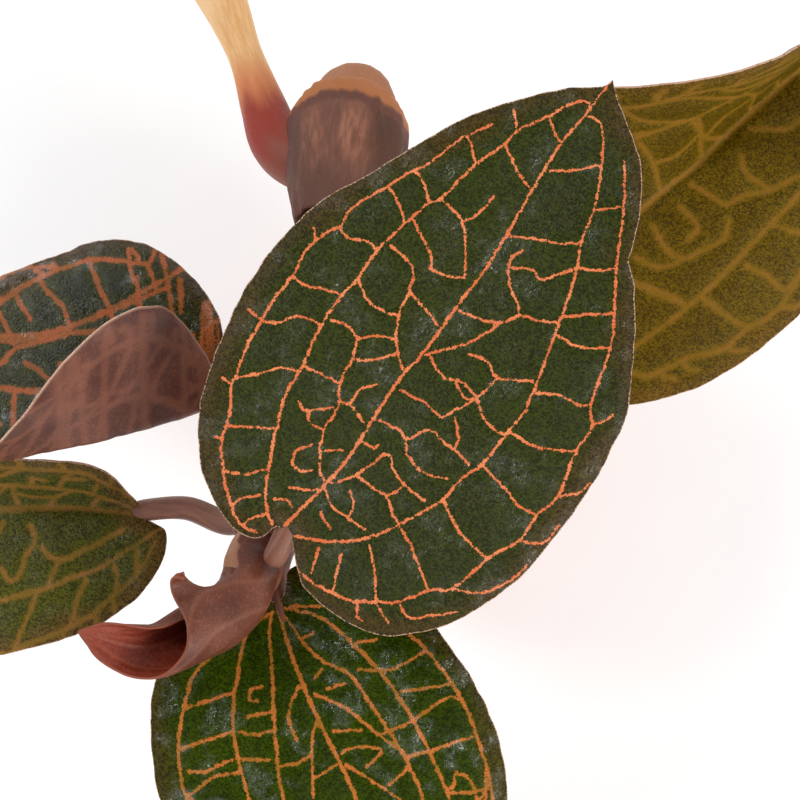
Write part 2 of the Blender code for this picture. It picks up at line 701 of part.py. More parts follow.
def main():
    clear_scene()
    make_pot()
    make_potting_mix()
    make_stem()
    stem_room = stem_piece("stem_room", CLEARANCE)
    root_room = root_piece("root_room", AERIAL_ROOT, AERIAL_ROOT_RADII, CLEARANCE, ROOT_SIDES)
    make_aerial_root(stem_room)
    make_old_sheath(stem_room, root_room)
    for name, form in LEAVES.items():
        make_leaf(name, form, stem_room)
    make_furled_leaf(stem_room)
    for room in (stem_room, root_room):
        bpy.data.objects.remove(room, do_unlink=True)


main()
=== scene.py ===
"""Looks of the potted jewel orchid: fine leaves with their net of veins, stem, roots, pot, mix and studio.

Lengths are in millimetres until make_piece writes them in metres. The leaves' forms repeat part.py's.
"""

import math
import random

import bmesh
import bpy
import numpy as np
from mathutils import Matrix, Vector, geometry, kdtree, noise


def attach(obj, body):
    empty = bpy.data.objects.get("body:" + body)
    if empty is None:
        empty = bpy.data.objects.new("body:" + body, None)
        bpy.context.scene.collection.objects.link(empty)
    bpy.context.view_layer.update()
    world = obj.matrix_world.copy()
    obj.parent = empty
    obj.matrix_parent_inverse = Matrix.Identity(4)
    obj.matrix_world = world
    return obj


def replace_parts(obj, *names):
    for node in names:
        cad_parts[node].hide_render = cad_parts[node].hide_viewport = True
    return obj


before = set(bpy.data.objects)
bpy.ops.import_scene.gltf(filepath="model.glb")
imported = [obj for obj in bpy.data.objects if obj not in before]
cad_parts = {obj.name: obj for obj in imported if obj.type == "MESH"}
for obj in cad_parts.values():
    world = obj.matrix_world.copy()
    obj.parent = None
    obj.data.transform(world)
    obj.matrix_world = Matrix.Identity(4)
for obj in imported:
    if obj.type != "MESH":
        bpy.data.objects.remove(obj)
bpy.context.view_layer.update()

MM = 0.001
SEED = 11

# The photograph's view: its size and scale in pixels, and what its middle looks at
PHOTO_SIZE = 800
PHOTO_MIDDLE = 400
PHOTO_SCALE = 12.1
VIEW_ELEVATION = math.radians(80.0)
VIEW_DISTANCE = 180.0
VIEW_CENTRE = np.array([-2.3, -17.5, 139.4])
SENSOR = 36.0

# The plant, as in part.py
STEM_PATH = [
    (7.0, -4.0, 20.0, 2.9), (5.0, 1.0, 31.0, 3.2), (1.5, 7.0, 44.0, 3.1), (-1.8, 13.0, 60.0, 3.0),
    (-4.4, 19.0, 78.0, 3.1), (-6.2, 22.8, 89.0, 3.6), (-7.3, 21.0, 97.5, 3.9), (-8.0, 13.5, 103.0, 3.4),
    (-9.3, 3.5, 108.0, 3.1), (-11.2, -8.0, 114.0, 2.8), (-12.6, -17.5, 119.9, 2.4),
    (-13.9, -25.0, 124.8, 1.9), (-14.9, -28.0, 126.9, 1.6),
]
NODE_HEIGHTS = (56.0, 70.0, 83.0, 96.0)
NODE_SWELLING = 0.45
NODE_WIDTH = 1.3
BURIED_ROOTS = [
    [(6.0, -2.0, 25.0), (0.0, -8.0, 22.0), (-6.5, -9.5, 15.0), (-9.0, -5.0, 9.0)],
    [(5.8, -1.5, 26.0), (10.0, 4.0, 21.0), (8.5, 10.5, 15.0), (2.0, 12.0, 10.0)],
    [(3.2, 4.2, 38.0), (-5.0, 6.5, 34.0), (-11.5, 3.0, 27.0), (-12.0, -3.0, 20.0)],
]
BURIED_ROOT_RADIUS = 1.3
AERIAL_ROOT = [
    (-8.4, 14.2, 101.6), (-12.0, 14.0, 101.6), (-14.9, 16.4, 100.4), (-16.6, 21.0, 98.4),
    (-18.8, 27.4, 96.6), (-21.8, 35.0, 94.2), (-25.6, 42.0, 89.0), (-27.2, 45.6, 80.0),
    (-27.4, 45.8, 72.0),
]
AERIAL_ROOT_RADII = [3.4, 3.2, 2.9, 2.4, 1.85, 2.7, 2.6, 2.3, 1.5]
# The old sheath's ends, below the stem's growing tip, its wall's rim and bulge, and how late it bulges
OLD_SHEATH = (39.5, 56.0)
OLD_SHEATH_WALL = (0.35, 2.2)
OLD_SHEATH_PEAK = 0.62
CLEARANCE = 0.3
POT_HEIGHT = 46.0
POT_RIM_RADIUS = 24.4
POT_BASE_RADIUS = 17.0
POT_WALL = 3.0
POT_FLOOR = 3.6
COLLAR_HEIGHT = 10.0
COLLAR_STEP = 1.6
DRAIN_RADIUS = 2.2
DRAIN_CIRCLE = 9.0
DRAINS = 4
MIX_TOP = 41.5
MIX_MOUND = 2.2
PETIOLE_RADIUS = 1.05

# Half outlines of a blade in lengths of its midrib: along it and out from it, from the base to the tip
HALVES = {
    "slim": [
        (-0.01, 0.01), (-0.04, 0.03), (-0.06, 0.05), (-0.056, 0.1), (-0.034, 0.15), (0.0, 0.198),
        (0.06, 0.25), (0.13, 0.285), (0.22, 0.312), (0.3, 0.326), (0.38, 0.33), (0.456, 0.322),
        (0.528, 0.303), (0.593, 0.277), (0.658, 0.248), (0.719, 0.219), (0.774, 0.19), (0.825, 0.159),
        (0.881, 0.115), (0.934, 0.066), (0.977, 0.02), (1.0, 0.0),
    ],
    "broad": [
        (-0.02, 0.03), (-0.047, 0.06), (-0.063, 0.094), (-0.068, 0.142), (-0.062, 0.191), (-0.045, 0.25),
        (-0.008, 0.292), (0.053, 0.333), (0.127, 0.362), (0.19, 0.379), (0.265, 0.384), (0.338, 0.384),
        (0.408, 0.38), (0.466, 0.369), (0.522, 0.353), (0.569, 0.33), (0.632, 0.293), (0.674, 0.264),
        (0.717, 0.228), (0.742, 0.205), (0.762, 0.197), (0.8, 0.183), (0.842, 0.163), (0.889, 0.132),
        (0.924, 0.097), (0.95, 0.062), (0.974, 0.028), (1.0, 0.0),
    ],
    "heart": [
        (-0.02, 0.03), (-0.055, 0.09), (-0.05, 0.17), (0.0, 0.26), (0.06, 0.325), (0.14, 0.37),
        (0.24, 0.384), (0.32, 0.376), (0.42, 0.345), (0.5, 0.315), (0.6, 0.272), (0.68, 0.23),
        (0.78, 0.165), (0.88, 0.09), (0.95, 0.04), (1.0, 0.0),
    ],
    "rolled": [
        (-0.01, 0.03), (-0.03, 0.11), (-0.01, 0.22), (0.05, 0.34), (0.1, 0.425), (0.16, 0.475),
        (0.22, 0.498), (0.3, 0.485), (0.36, 0.44), (0.43, 0.385), (0.5, 0.335), (0.58, 0.29),
        (0.66, 0.25), (0.75, 0.19), (0.85, 0.12), (0.93, 0.06), (1.0, 0.0),
    ],
    "tapered": [
        (-0.01, 0.02), (0.01, 0.08), (0.04, 0.2), (0.08, 0.27), (0.14, 0.3), (0.21, 0.308), (0.3, 0.308),
        (0.38, 0.306), (0.456, 0.3), (0.56, 0.28), (0.658, 0.245), (0.774, 0.19), (0.881, 0.115),
        (0.95, 0.05), (1.0, 0.0),
    ],
    "oval": [
        (0.0, 0.03), (-0.03, 0.08), (-0.02, 0.17), (0.04, 0.24), (0.12, 0.29), (0.2, 0.32), (0.3, 0.335),
        (0.41, 0.335), (0.53, 0.32), (0.64, 0.288), (0.75, 0.24), (0.85, 0.17), (0.93, 0.09), (1.0, 0.0),
    ],
    "furled_right": [
        (-0.03, 0.0), (0.0, 0.29), (0.12, 0.34), (0.3, 0.37), (0.45, 0.33), (0.58, 0.25), (0.72, 0.19),
        (0.86, 0.11), (0.94, 0.05), (1.0, 0.0),
    ],
    "furled_left": [
        (-0.03, 0.0), (-0.02, 0.3), (0.0, 0.4), (0.05, 0.44), (0.15, 0.46), (0.3, 0.49), (0.42, 0.52),
        (0.5, 0.57), (0.55, 0.66), (0.59, 0.71), (0.612, 0.64), (0.62, 0.5), (0.64, 0.38), (0.68, 0.29),
        (0.74, 0.2), (0.82, 0.13), (0.93, 0.06), (1.0, 0.0),
    ],
}

# Every open leaf: the size of its mesh's cells, its midrib and the way its flat faces. Then the outline and
# width of its right and left half, with their folds and curls in degrees, and the wave of its edge. A late
# fold is reached where the leaf has settled, at a share of its length. A roll has how far out it starts at
# the base and at the tip, its radius, its greatest turn and the share of the length where it ends. The stalk
# is given in space, and its sheath by its two ends' distances below the stem's growing tip.
LEAVES = {
    "leaf_main": {
        "cell": 0.17,
        "midrib": [(-11.7, -27.6, 134.6), (-3.5, -17.9, 138.6), (5.4, -5.9, 141.4), (15.4, 8.8, 143.2)],
        "faces": (0.0, -0.17, 0.98), "halves": ("broad", "slim"), "widths": (1.0, 1.0),
        "folds": (9.0, 8.0), "curls": (-14.0, -12.0), "wave": 0.25,
        "stalk": [(-11.4, -25.6, 127.6), (-12.8, -29.7, 133.0)], "sheath": (1.2, 3.0),
    },
    "leaf_front": {
        "cell": 0.19,
        "midrib": [(-12.9, -33.2, 125.5), (-9.6, -42.6, 125.3), (-5.4, -52.7, 122.0), (1.3, -71.6, 112.6)],
        "faces": (0.0, -0.1, 1.0), "halves": ("slim", "slim"), "widths": (1.12, 0.97),
        "folds": (10.0, 12.0), "curls": (-26.0, -22.0), "wave": 0.7,
        "stalk": [(-12.0, -24.6, 120.2), (-13.2, -29.8, 122.9)], "sheath": (6.1, 8.4),
    },
    "leaf_left_lower": {
        "cell": 0.22,
        "midrib": [(-26.6, -24.0, 118.1), (-38.2, -23.9, 118.6), (-53.0, -24.0, 115.0),
                   (-73.0, -23.9, 105.6)],
        "faces": (0.0, 0.0, 1.0), "halves": ("tapered", "slim"), "widths": (0.42, 0.86),
        "folds": (56.0, -4.0), "curls": (2.0, -14.0), "wave": 0.5,
        "stalk": [(-17.6, -25.6, 121.6), (-21.8, -24.0, 119.4)], "sheath": (3.5, 5.6),
    },
    "leaf_left_upper": {
        "cell": 0.2,
        "midrib": [(-19.6, -14.1, 126.9), (-26.2, -14.7, 128.0), (-33.8, -14.6, 127.6),
                   (-42.8, -13.4, 125.4), (-51.8, -11.6, 121.8)],
        "faces": (0.0, -0.05, 1.0), "halves": ("heart", "rolled"), "widths": (1.08, 1.0),
        "folds": (12.0, -6.0), "curls": (-22.0, 0.0), "roll": (0.02, 0.265, 1.3, 172.0, 0.9), "wave": 0.3,
        "stalk": [(-15.2, -15.0, 120.4), (-15.4, -12.4, 126.0)], "sheath": (11.5, 21.0),
    },
    "leaf_right_back": {
        "cell": 0.22,
        "midrib": [(10.6, 1.3, 99.1), (24.0, 9.7, 102.5), (37.0, 21.7, 102.8), (51.4, 32.0, 98.8)],
        "faces": (0.0, -0.1, 1.0), "halves": ("broad", "oval"), "widths": (0.92, 0.96),
        "folds": (8.0, 6.0), "late_folds": (4.0, 89.0), "settled": 0.62, "curls": (-20.0, 0.0), "wave": 0.5,
        "stalk": [(-4.6, 0.2, 105.4), (2.6, -3.0, 98.2)], "sheath": (27.5, 38.0),
    },
}
# The young leaf, and its scroll's radius, how that changes along it, how each half opens, and its lip's
# start and radius. The core is given along the midrib.
FURLED = {
    "cell": 0.15,
    "midrib": [(-15.0, -29.2, 125.6), (-15.6, -31.2, 126.5), (-17.0, -33.6, 128.2), (-19.8, -35.8, 130.8),
               (-23.8, -37.4, 133.3), (-29.0, -36.3, 135.6)],
    "faces": (0.0, -0.17, 0.98), "halves": ("furled_right", "furled_left"), "widths": (1.0, 1.0),
    "wave": 0.0,
}
FURLED_RADIUS = 2.45
FURLED_TAPER = (0.84, 0.5, -0.62)
FURLED_SPREAD = (0.1, -0.085)
FURLED_LIP = (0.53, 1.2)
FURLED_CORE = (-1.6, 6.0)
FURLED_CORE_RADII = [1.7, 2.3, 2.6, 2.2, 1.4]
FURLED_CORE_HEIGHT = 0.88

# Long veins of the main leaf, as the photograph shows them in its pixels, from the leaf's base on
MAIN_MIDRIB = [
    (285, 525), (325, 485), (348, 458), (375, 416), (400, 378), (425, 351), (455, 309), (482, 274),
    (505, 238), (532, 190), (559, 146), (586, 114), (612, 79),
]
MAIN_LEFT_INNER = [
    (272, 523), (266, 500), (269, 469), (276, 431), (287, 393), (302, 366), (322, 324), (341, 297),
    (358, 278), (377, 251), (404, 225), (429, 203), (440, 199), (475, 165), (505, 144), (517, 131),
    (547, 117), (566, 106), (586, 102), (591, 112),
]
MAIN_LEFT_OUTER = [
    (257, 533), (241, 523), (230, 500), (224, 473), (222, 439), (230, 416), (232, 385), (237, 374),
    (249, 343), (262, 320), (276, 297), (293, 276), (306, 251), (325, 234), (341, 226), (348, 213),
    (368, 198), (389, 186), (410, 173), (429, 163), (459, 140), (467, 136), (492, 125),
]
MAIN_RIGHT_INNER = [
    (295, 536), (333, 541), (367, 538), (398, 525), (425, 510), (444, 498), (463, 477), (482, 464),
    (505, 435), (521, 416), (536, 385), (547, 355), (557, 328), (566, 305), (576, 270), (582, 240),
    (595, 205), (601, 171), (603, 137), (599, 123), (589, 117),
]
MAIN_RIGHT_OUTER = [
    (297, 569), (310, 580), (333, 592), (352, 600), (375, 601), (398, 601), (429, 590), (452, 588),
    (471, 573), (488, 557), (505, 548), (521, 538), (536, 515), (557, 496), (576, 450), (591, 427),
    (591, 404), (610, 347), (614, 313), (616, 270), (624, 205), (624, 161),
]
# The main leaf's edge in the photograph, from the tip round each side to the stalk
MAIN_LEFT_EDGE = [
    (612, 80), (601, 87), (563, 89), (524, 98), (486, 110), (455, 123), (425, 140), (394, 159), (360, 179),
    (325, 198), (295, 225), (268, 255), (245, 290), (226, 328), (209, 374), (199, 416), (201, 462),
    (211, 492), (226, 519), (245, 536), (262, 537), (277, 527),
]
MAIN_RIGHT_EDGE = [
    (618, 100), (626, 121), (635, 144), (641, 171), (641, 202), (637, 228), (632, 251), (628, 261),
    (633, 282), (635, 313), (634, 343), (630, 385), (626, 416), (612, 446), (597, 477), (574, 511),
    (547, 546), (517, 580), (486, 603), (448, 624), (410, 634), (379, 635), (348, 622), (325, 607),
    (306, 588), (297, 569), (293, 545), (288, 535),
]
# Its cross veins and spurs, in the pixels of a crop of the photograph: the crop's corner and magnification
MAIN_CROP = (180.0, 60.0, 2.6133)
MAIN_CROSSES = [
    [(420, 435), (440, 465), (490, 475), (515, 500)],
    [(545, 330), (575, 380), (585, 430)],
    [(615, 290), (640, 330), (650, 375)],
    [(750, 200), (770, 260), (780, 270)],
    [(295, 565), (330, 590), (390, 600), (420, 612)],
    [(215, 680), (260, 685), (310, 670), (370, 690)],
    [(150, 830), (200, 820), (260, 805), (315, 810)],
    [(130, 955), (190, 958), (258, 962)],
    [(115, 1072), (170, 1080), (220, 1068)],
    [(135, 1165), (160, 1145), (210, 1135)],
    [(165, 1210), (190, 1195), (225, 1185)],
    [(870, 130), (880, 185)],
    [(965, 150), (975, 190), (995, 215)],
    [(850, 225), (880, 290), (915, 340)],
    [(680, 362), (735, 420), (745, 500), (742, 570)],
    [(735, 425), (780, 400), (820, 355)],
    [(742, 570), (700, 565), (650, 545)],
    [(610, 420), (630, 460), (655, 510), (655, 545)],
    [(550, 485), (600, 530), (610, 570), (600, 600), (640, 650), (675, 695)],
    [(600, 605), (575, 660), (565, 730), (570, 770), (580, 805)],
    [(465, 575), (490, 625), (540, 660), (575, 665)],
    [(395, 680), (440, 695), (465, 725), (510, 720), (565, 730)],
    [(465, 725), (450, 780), (420, 840), (415, 890), (400, 930), (375, 970), (365, 1060), (378, 1100)],
    [(325, 800), (370, 820), (420, 845)],
    [(450, 780), (500, 785), (565, 765)],
    [(415, 890), (445, 895), (470, 860), (515, 845)],
    [(445, 895), (460, 920), (480, 945)],
    [(310, 890), (335, 915), (400, 905)],
    [(335, 915), (340, 945), (375, 965)],
    [(345, 1005), (305, 1020), (295, 1055), (315, 1072), (345, 1070)],
    [(380, 1020), (430, 1020)],
    [(285, 1115), (340, 1122), (372, 1120)],
    [(245, 1145), (280, 1148), (292, 1165)],
    [(965, 290), (1030, 290), (1095, 278)],
    [(865, 462), (930, 470), (990, 480), (1045, 480)],
    [(1085, 392), (1120, 390), (1160, 385)],
    [(1040, 545), (1090, 550), (1135, 545)],
    [(870, 545), (920, 550), (945, 575), (990, 560), (1040, 545)],
    [(895, 500), (870, 515), (860, 545), (865, 600), (885, 640), (885, 665)],
    [(730, 655), (780, 675), (835, 688), (885, 668), (930, 680), (985, 685)],
    [(640, 770), (740, 745), (800, 715), (835, 690)],
    [(1000, 670), (1070, 665), (1135, 660)],
    [(985, 720), (1040, 750), (1120, 752)],
    [(755, 770), (800, 785), (830, 830), (920, 840)],
    [(655, 775), (690, 830), (735, 840), (775, 880)],
    [(720, 840), (745, 885), (775, 880)],
    [(830, 832), (780, 880), (740, 905), (680, 935)],
    [(775, 880), (800, 945), (835, 975), (855, 975)],
    [(930, 870), (990, 875), (1040, 900), (1075, 900)],
    [(575, 862), (640, 895), (685, 935)],
    [(520, 940), (570, 965), (600, 990), (650, 965), (690, 1000), (720, 1020), (755, 1058)],
    [(720, 935), (728, 985), (720, 1020)],
    [(590, 1000), (600, 1040), (640, 1080), (700, 1095)],
    [(470, 990), (510, 1015), (520, 1005)],
    [(395, 1105), (460, 1085), (540, 1030), (560, 1070), (590, 1110), (640, 1150)],
    [(460, 1085), (540, 1135), (590, 1110)],
    [(540, 1140), (565, 1200), (600, 1260), (625, 1320), (650, 1385)],
    [(690, 1150), (730, 1230), (800, 1300)],
    [(790, 1060), (850, 1120), (880, 1160), (930, 1188)],
    [(860, 970), (930, 1010), (1035, 1022)],
    [(380, 1120), (400, 1165), (440, 1195), (485, 1225)],
    [(445, 1125), (455, 1165), (440, 1195)],
    [(370, 1180), (395, 1225)],
    [(365, 1275), (345, 1340)],
    [(425, 1290), (400, 1385)],
    [(495, 1265), (510, 1340), (515, 1415), (545, 1470)],
    [(465, 1410), (465, 1450), (480, 1465)],
    [(575, 1420), (600, 1455), (650, 1450), (725, 1440)],
    [(715, 1380), (790, 1390), (860, 1360), (905, 1320)],
    [(890, 1255), (950, 1260), (990, 1215)],
    [(985, 1140), (1040, 1130), (1070, 1105)],
    [(1075, 955), (1110, 940), (1130, 925)],
    [(180, 650), (215, 680)],
    [(115, 830), (135, 845)],
    [(95, 985), (110, 990)],
    [(350, 440), (355, 465)],
]
# Long veins of the front leaf. They run on below the photograph's edge to the leaf's tip.
FRONT_MIDRIB = [
    (279, 612), (289, 647), (304, 687), (322, 727), (341, 764), (355, 796), (378, 868), (404, 960),
    (447, 1053),
]
FRONT_LEFT_INNER = [
    (273, 612), (269, 632), (272, 667), (273, 704), (277, 754), (282, 791), (298, 862), (338, 955),
    (400, 1025), (434, 1045),
]
FRONT_LEFT_OUTER = [
    (268, 614), (247, 635), (237, 679), (233, 719), (239, 759), (249, 796), (270, 872), (312, 952),
    (362, 1002),
]
FRONT_LEFT_EDGE_VEIN = [
    (262, 618), (200, 667), (187, 699), (180, 739), (182, 774), (188, 800), (206, 862), (250, 940),
]
FRONT_RIGHT_INNER = [
    (282, 612), (304, 642), (322, 660), (344, 670), (355, 680), (372, 705), (396, 742), (420, 790),
    (437, 862), (452, 950), (452, 1020),
]
FRONT_RIGHT_MIDDLE = [
    (285, 608), (322, 618), (354, 645), (379, 670), (397, 694), (414, 722), (431, 755), (448, 795),
    (468, 862), (476, 930), (468, 990),
]
FRONT_RIGHT_OUTER = [
    (290, 606), (340, 608), (386, 622), (419, 643), (446, 675), (461, 699), (474, 729), (486, 769),
    (492, 800), (497, 862), (488, 930),
]
FRONT_CROP = (130.0, 580.0, 4.02)
FRONT_CROSSES = [
    [(230, 515), (420, 450)],
    [(205, 675), (410, 610)],
    [(245, 765), (310, 765), (410, 720)],
    [(240, 860), (340, 790), (440, 770)],
    [(440, 610), (500, 620), (575, 605)],
    [(455, 720), (560, 720)],
    [(475, 550), (565, 530)],
    [(530, 430), (490, 440), (480, 480), (510, 485)],
    [(680, 430), (645, 500), (640, 570), (670, 640)],
    [(610, 745), (680, 730), (720, 705)],
    [(750, 570), (730, 650), (735, 870)],
    [(745, 460), (800, 480), (880, 520), (1000, 620), (1110, 700), (1105, 760), (1040, 820)],
    [(1000, 620), (1140, 560), (1270, 470), (1320, 475)],
    [(1120, 705), (1200, 685), (1370, 625)],
    [(850, 695), (900, 670), (1010, 680), (950, 750)],
    [(870, 740), (1000, 820), (1090, 880)],
    [(740, 795), (830, 740)],
    [(1090, 445), (1180, 435), (1280, 415)],
    [(920, 360), (1040, 360), (1110, 330), (1180, 290)],
    [(900, 260), (990, 240)],
    [(700, 235), (740, 210)],
    [(745, 395), (775, 360)],
    [(795, 435), (865, 415)],
    [(820, 605), (930, 600)],
    [(1290, 850), (1370, 850), (1430, 830)],
]
# Where the photograph's lower edge cuts the front leaf's long veins, as shares of their length
FRONT_SEEN = 0.5

# The three blurred leaves: veins that the photograph shows, each in its own crop. long gives them by the
# number of the long vein that they are, and seeded the rungs for parts that it doesn't show: two long veins,
# the shares of their length to start and end at, and how many.
PARTLY_SEEN = {
    "leaf_left_upper": {
        "crop": (0.0, 230.0, 6.533), "thick": 2.2,
        "long": {
            3: [(1010, 555), (820, 620), (700, 655), (560, 670), (450, 680), (330, 715), (210, 745),
                (120, 770), (60, 820), (0, 860)],
            4: [(1420, 620), (1390, 520), (1360, 470), (1280, 385), (1180, 315), (1080, 265), (960, 232),
                (830, 213), (700, 200), (590, 205), (480, 240), (370, 272), (260, 325), (190, 355),
                (90, 410), (0, 460)],
        },
        "crosses": [
            [(0, 540), (40, 620), (95, 740)],
            [(95, 400), (150, 500), (205, 590)],
            [(260, 330), (320, 410), (400, 490), (440, 570), (465, 660)],
            [(590, 205), (620, 290), (650, 380), (700, 470), (730, 560), (735, 640)],
            [(845, 130), (850, 230), (880, 350), (910, 470), (920, 545), (900, 590)],
            [(965, 245), (1000, 340), (1025, 400)],
            [(1170, 330), (1180, 430), (1180, 540)],
            [(400, 990), (375, 930), (400, 870), (470, 830), (560, 825), (620, 850), (640, 880)],
            [(170, 870), (240, 900), (300, 960), (350, 1010)],
            [(640, 790), (680, 740), (720, 720)],
            [(1240, 400), (1330, 480), (1390, 560)],
            [(370, 270), (350, 230)],
        ],
        "seeded": [(0, 1, 0.05, 0.93, 11), (1, 2, 0.05, 0.93, 12), (0, 3, 0.72, 0.93, 3),
                   (3, 4, 0.66, 0.93, 4)],
    },
    "leaf_left_lower": {
        "crop": (0.0, 450.0, 6.817), "thick": 2.3,
        "long": {
            1: [(1110, 520), (1000, 600), (860, 690), (740, 770), (620, 830), (480, 870), (330, 940),
                (200, 970), (0, 1020)],
            2: [(1060, 620), (990, 760), (930, 850), (850, 930), (740, 1020), (640, 1110), (520, 1180),
                (380, 1250), (200, 1320), (0, 1390)],
        },
        "crosses": [
            [(590, 880), (540, 990), (500, 1130), (480, 1200)],
            [(780, 780), (800, 880), (790, 980)],
            [(260, 960), (200, 1120), (150, 1230), (110, 1340)],
            [(840, 540), (700, 620), (560, 690), (430, 750), (380, 800), (330, 930)],
            [(290, 670), (350, 730), (430, 750)],
            [(210, 520), (240, 620), (180, 720), (160, 800), (110, 880), (60, 880), (20, 800)],
            [(0, 560), (30, 490)],
            [(940, 690), (930, 850)],
        ],
        "seeded": [(0, 1, 0.36, 0.93, 8), (1, 2, 0.36, 0.93, 8), (0, 3, 0.05, 0.93, 12),
                   (3, 4, 0.05, 0.93, 13)],
    },
    "leaf_right_back": {
        "crop": (600.0, 40.0, 4.125), "thick": 2.6,
        "long": {
            3: [(40, 1330), (150, 1260), (300, 1150), (420, 1050), (560, 910), (700, 760), (825, 630)],
        },
        "crosses": [
            [(220, 770), (280, 870), (350, 900), (440, 860), (510, 820), (530, 740)],
            [(330, 690), (400, 770), (360, 830)],
            [(380, 600), (480, 660), (520, 680), (600, 640), (700, 620), (825, 560)],
            [(580, 480), (610, 560), (700, 620)],
            [(620, 370), (760, 370), (825, 330)],
            [(700, 760), (825, 800)],
            [(600, 930), (680, 970), (760, 1030), (825, 950)],
            [(420, 1060), (520, 1140), (620, 1180), (720, 1120)],
            [(180, 1010), (300, 1060), (360, 1100)],
            [(150, 900), (250, 940), (350, 900)],
        ],
        "seeded": [(0, 1, 0.05, 0.93, 11), (1, 2, 0.05, 0.93, 12), (0, 3, 0.04, 0.2, 2),
                   (0, 3, 0.66, 0.93, 4), (3, 4, 0.04, 0.2, 2), (3, 4, 0.66, 0.93, 4)],
    },
}

# Half widths of the veins, in millimetres, at a vein's start and end
MIDRIB_HALF = (0.165, 0.095)
LONG_HALF = (0.13, 0.095)
CROSS_HALF = (0.115, 0.095)
# How far from the veins their field still grows
FAR = 3.0

# How a leaf's tissue stands up between its veins, and how thick the visible blade is
QUILT_HEIGHT = 0.085
QUILT_REACH = 0.55
UPPER_OFFSET = 0.27
UNDER_OFFSET = 0.21
RIM_OFFSET = 0.09
# How far out from the midrib a blade reaches its full fold
CREASE = 1.3
MIDRIB_GROOVE = 0.08
PUCKER = 0.1
RIM_WAVE = 0.12

# Every colour is given as the eye reads it, in steps from 0 to 255.
# The upper sides' looks: colours of the flesh, the green by the veins, the brown by the rim, and two of the
# veins. Then how rough the side is, how blurred its veins' edges, how wet its film and how bright its shine.
LEAF_LOOKS = {
    "leaf_main": (
        ((44, 47, 16), (40, 48, 0), (62, 46, 12), (216, 108, 62), (230, 132, 84)), 0.3, 0.035, 0.5, 0.14),
    "leaf_front": (
        ((32, 44, 0), (44, 58, 0), (62, 52, 16), (192, 108, 50), (156, 98, 34)), 0.27, 0.06, 0.9, 0.05),
    "leaf_left_lower": (
        ((66, 66, 26), (68, 68, 0), (88, 64, 26), (138, 96, 42), (120, 90, 30)), 0.36, 0.2, 0.2, 0.12),
    "leaf_left_upper": (
        ((30, 32, 4), (50, 50, 0), (66, 42, 8), (168, 84, 36), (142, 78, 24)), 0.16, 0.12, 1.0, 0.3),
    "leaf_right_back": (
        ((82, 62, 0), (92, 72, 0), (98, 70, 12), (136, 94, 28), (126, 92, 18)), 0.36, 0.3, 0.0, 0.1),
}
RIM_COLOUR = (196, 158, 132)
# The undersides' colours: flesh, dark, veins and edge
UNDERSIDE = ((112, 68, 54), (74, 38, 28), (150, 94, 70), (150, 108, 88))
YOUNG_OUTSIDE = ((118, 66, 48), (82, 40, 26), (154, 98, 74), (112, 64, 48))
YOUNG_INSIDE = ((142, 58, 38), (96, 34, 20), (176, 96, 70), (134, 68, 46))
# The streaked skins': three tones, then tints between two shares of the length, or painted shade between two
# places along X
STALK_TONES = ((128, 82, 64), (98, 60, 46), (138, 100, 82))
YOUNG_CORE_TONES = ((148, 92, 64), (110, 62, 40), (160, 118, 88))
STEM_TONES = ((128, 84, 60), (92, 56, 38), (116, 92, 50))
STEM_TINTS = ((0.49, 0.53, (150, 90, 48)), (0.6, 0.615, (124, 82, 60)))
OLD_SHEATH_TONES = ((150, 98, 76), (116, 72, 54), (96, 60, 48))
# The old sheath's first tint is painted shade, darker towards the end nearer the stem's tip, by the main
# leaf; the others are a dark band and an orange-brown cap
OLD_SHEATH_TINTS_AND_SHADE = ((0.5, 0.85, (92, 58, 46)), (0.33, 0.27, (92, 54, 42)), (0.24, 0.19, (158, 96, 52)))
# Painted shade that darkens the old sheath's two flanks, past two places along X
OLD_SHEATH_FLANK_SHADE = ((-6.8, -4.2, (66, 38, 24)), (-10.6, -13.0, (80, 50, 42)))
ROOT_TONES = ((222, 176, 122), (204, 152, 96), (228, 190, 142))
ROOT_TINTS = ((0.365, 0.29, (196, 120, 72)), (0.308, 0.226, (136, 36, 12)), (0.2, 0.12, (128, 64, 48)))

# Width of the underside's cells
UNDER_CELL = 0.34
FURLED_UNDER_CELL = 0.16

# The bits that lie on the mix
CHIPS = 190
CHIPS_APART = 1.9
PERLITE_GRAINS = 34
PERLITE_APART = 3.0
CLEAR_OF_STEM = 4.6

# The pale bloom of lime on the pot: how high it climbs from the foot, and where it starts on the collar
LIME_TOP = 20.0
LIME_ON_COLLAR = (43.0, 46.0)

# Studio: the sky's brightness round the sides and overhead, and the heights between which it fades
SKY_SIDE = 1.36
SKY_TOP = 0.16
SKY_FADE = (0.62, 0.9)
FLOOR_SIDE = 6000.0
# Each light's place and aim, in metres, then its width, power and colour
LIGHTS = {
    "left_soft": ((-0.34, 0.1, 0.62), (-0.01, -0.01, 0.12), 0.16, 1.1, (0.92, 0.96, 1.0)),
    "right_soft": ((0.5, -0.35, 0.5), (0.0, 0.0, 0.1), 0.3, 2.2, (1.0, 0.99, 0.98)),
}


def paint(red, green, blue):
    """A colour given as the eye reads it, in steps from 0 to 255, as Blender's linear one."""
    linear = []
    for step in (red, green, blue):
        share = step / 255
        linear.append(share / 12.92 if share <= 0.04045 else ((share + 0.055) / 1.055) ** 2.4)
    return (*linear, 1.0)


def dense_curve(control, per_span=24):
    """A Catmull-Rom curve through the control rows, which may carry a radius after their place."""
    rows = np.array(control, float)
    padded = np.vstack([2 * rows[0] - rows[1], rows, 2 * rows[-1] - rows[-2]])
    t = (np.arange(per_span) / per_span)[:, None]
    out = []
    for a, b, c, d in zip(padded, padded[1:], padded[2:], padded[3:]):
        bent = (2 * a - 5 * b + 4 * c - d) * t**2 + (3 * b - a - 3 * c + d) * t**3
        out.append(0.5 * (2 * b + (c - a) * t + bent))
    return np.vstack([*out, rows[-1:]])


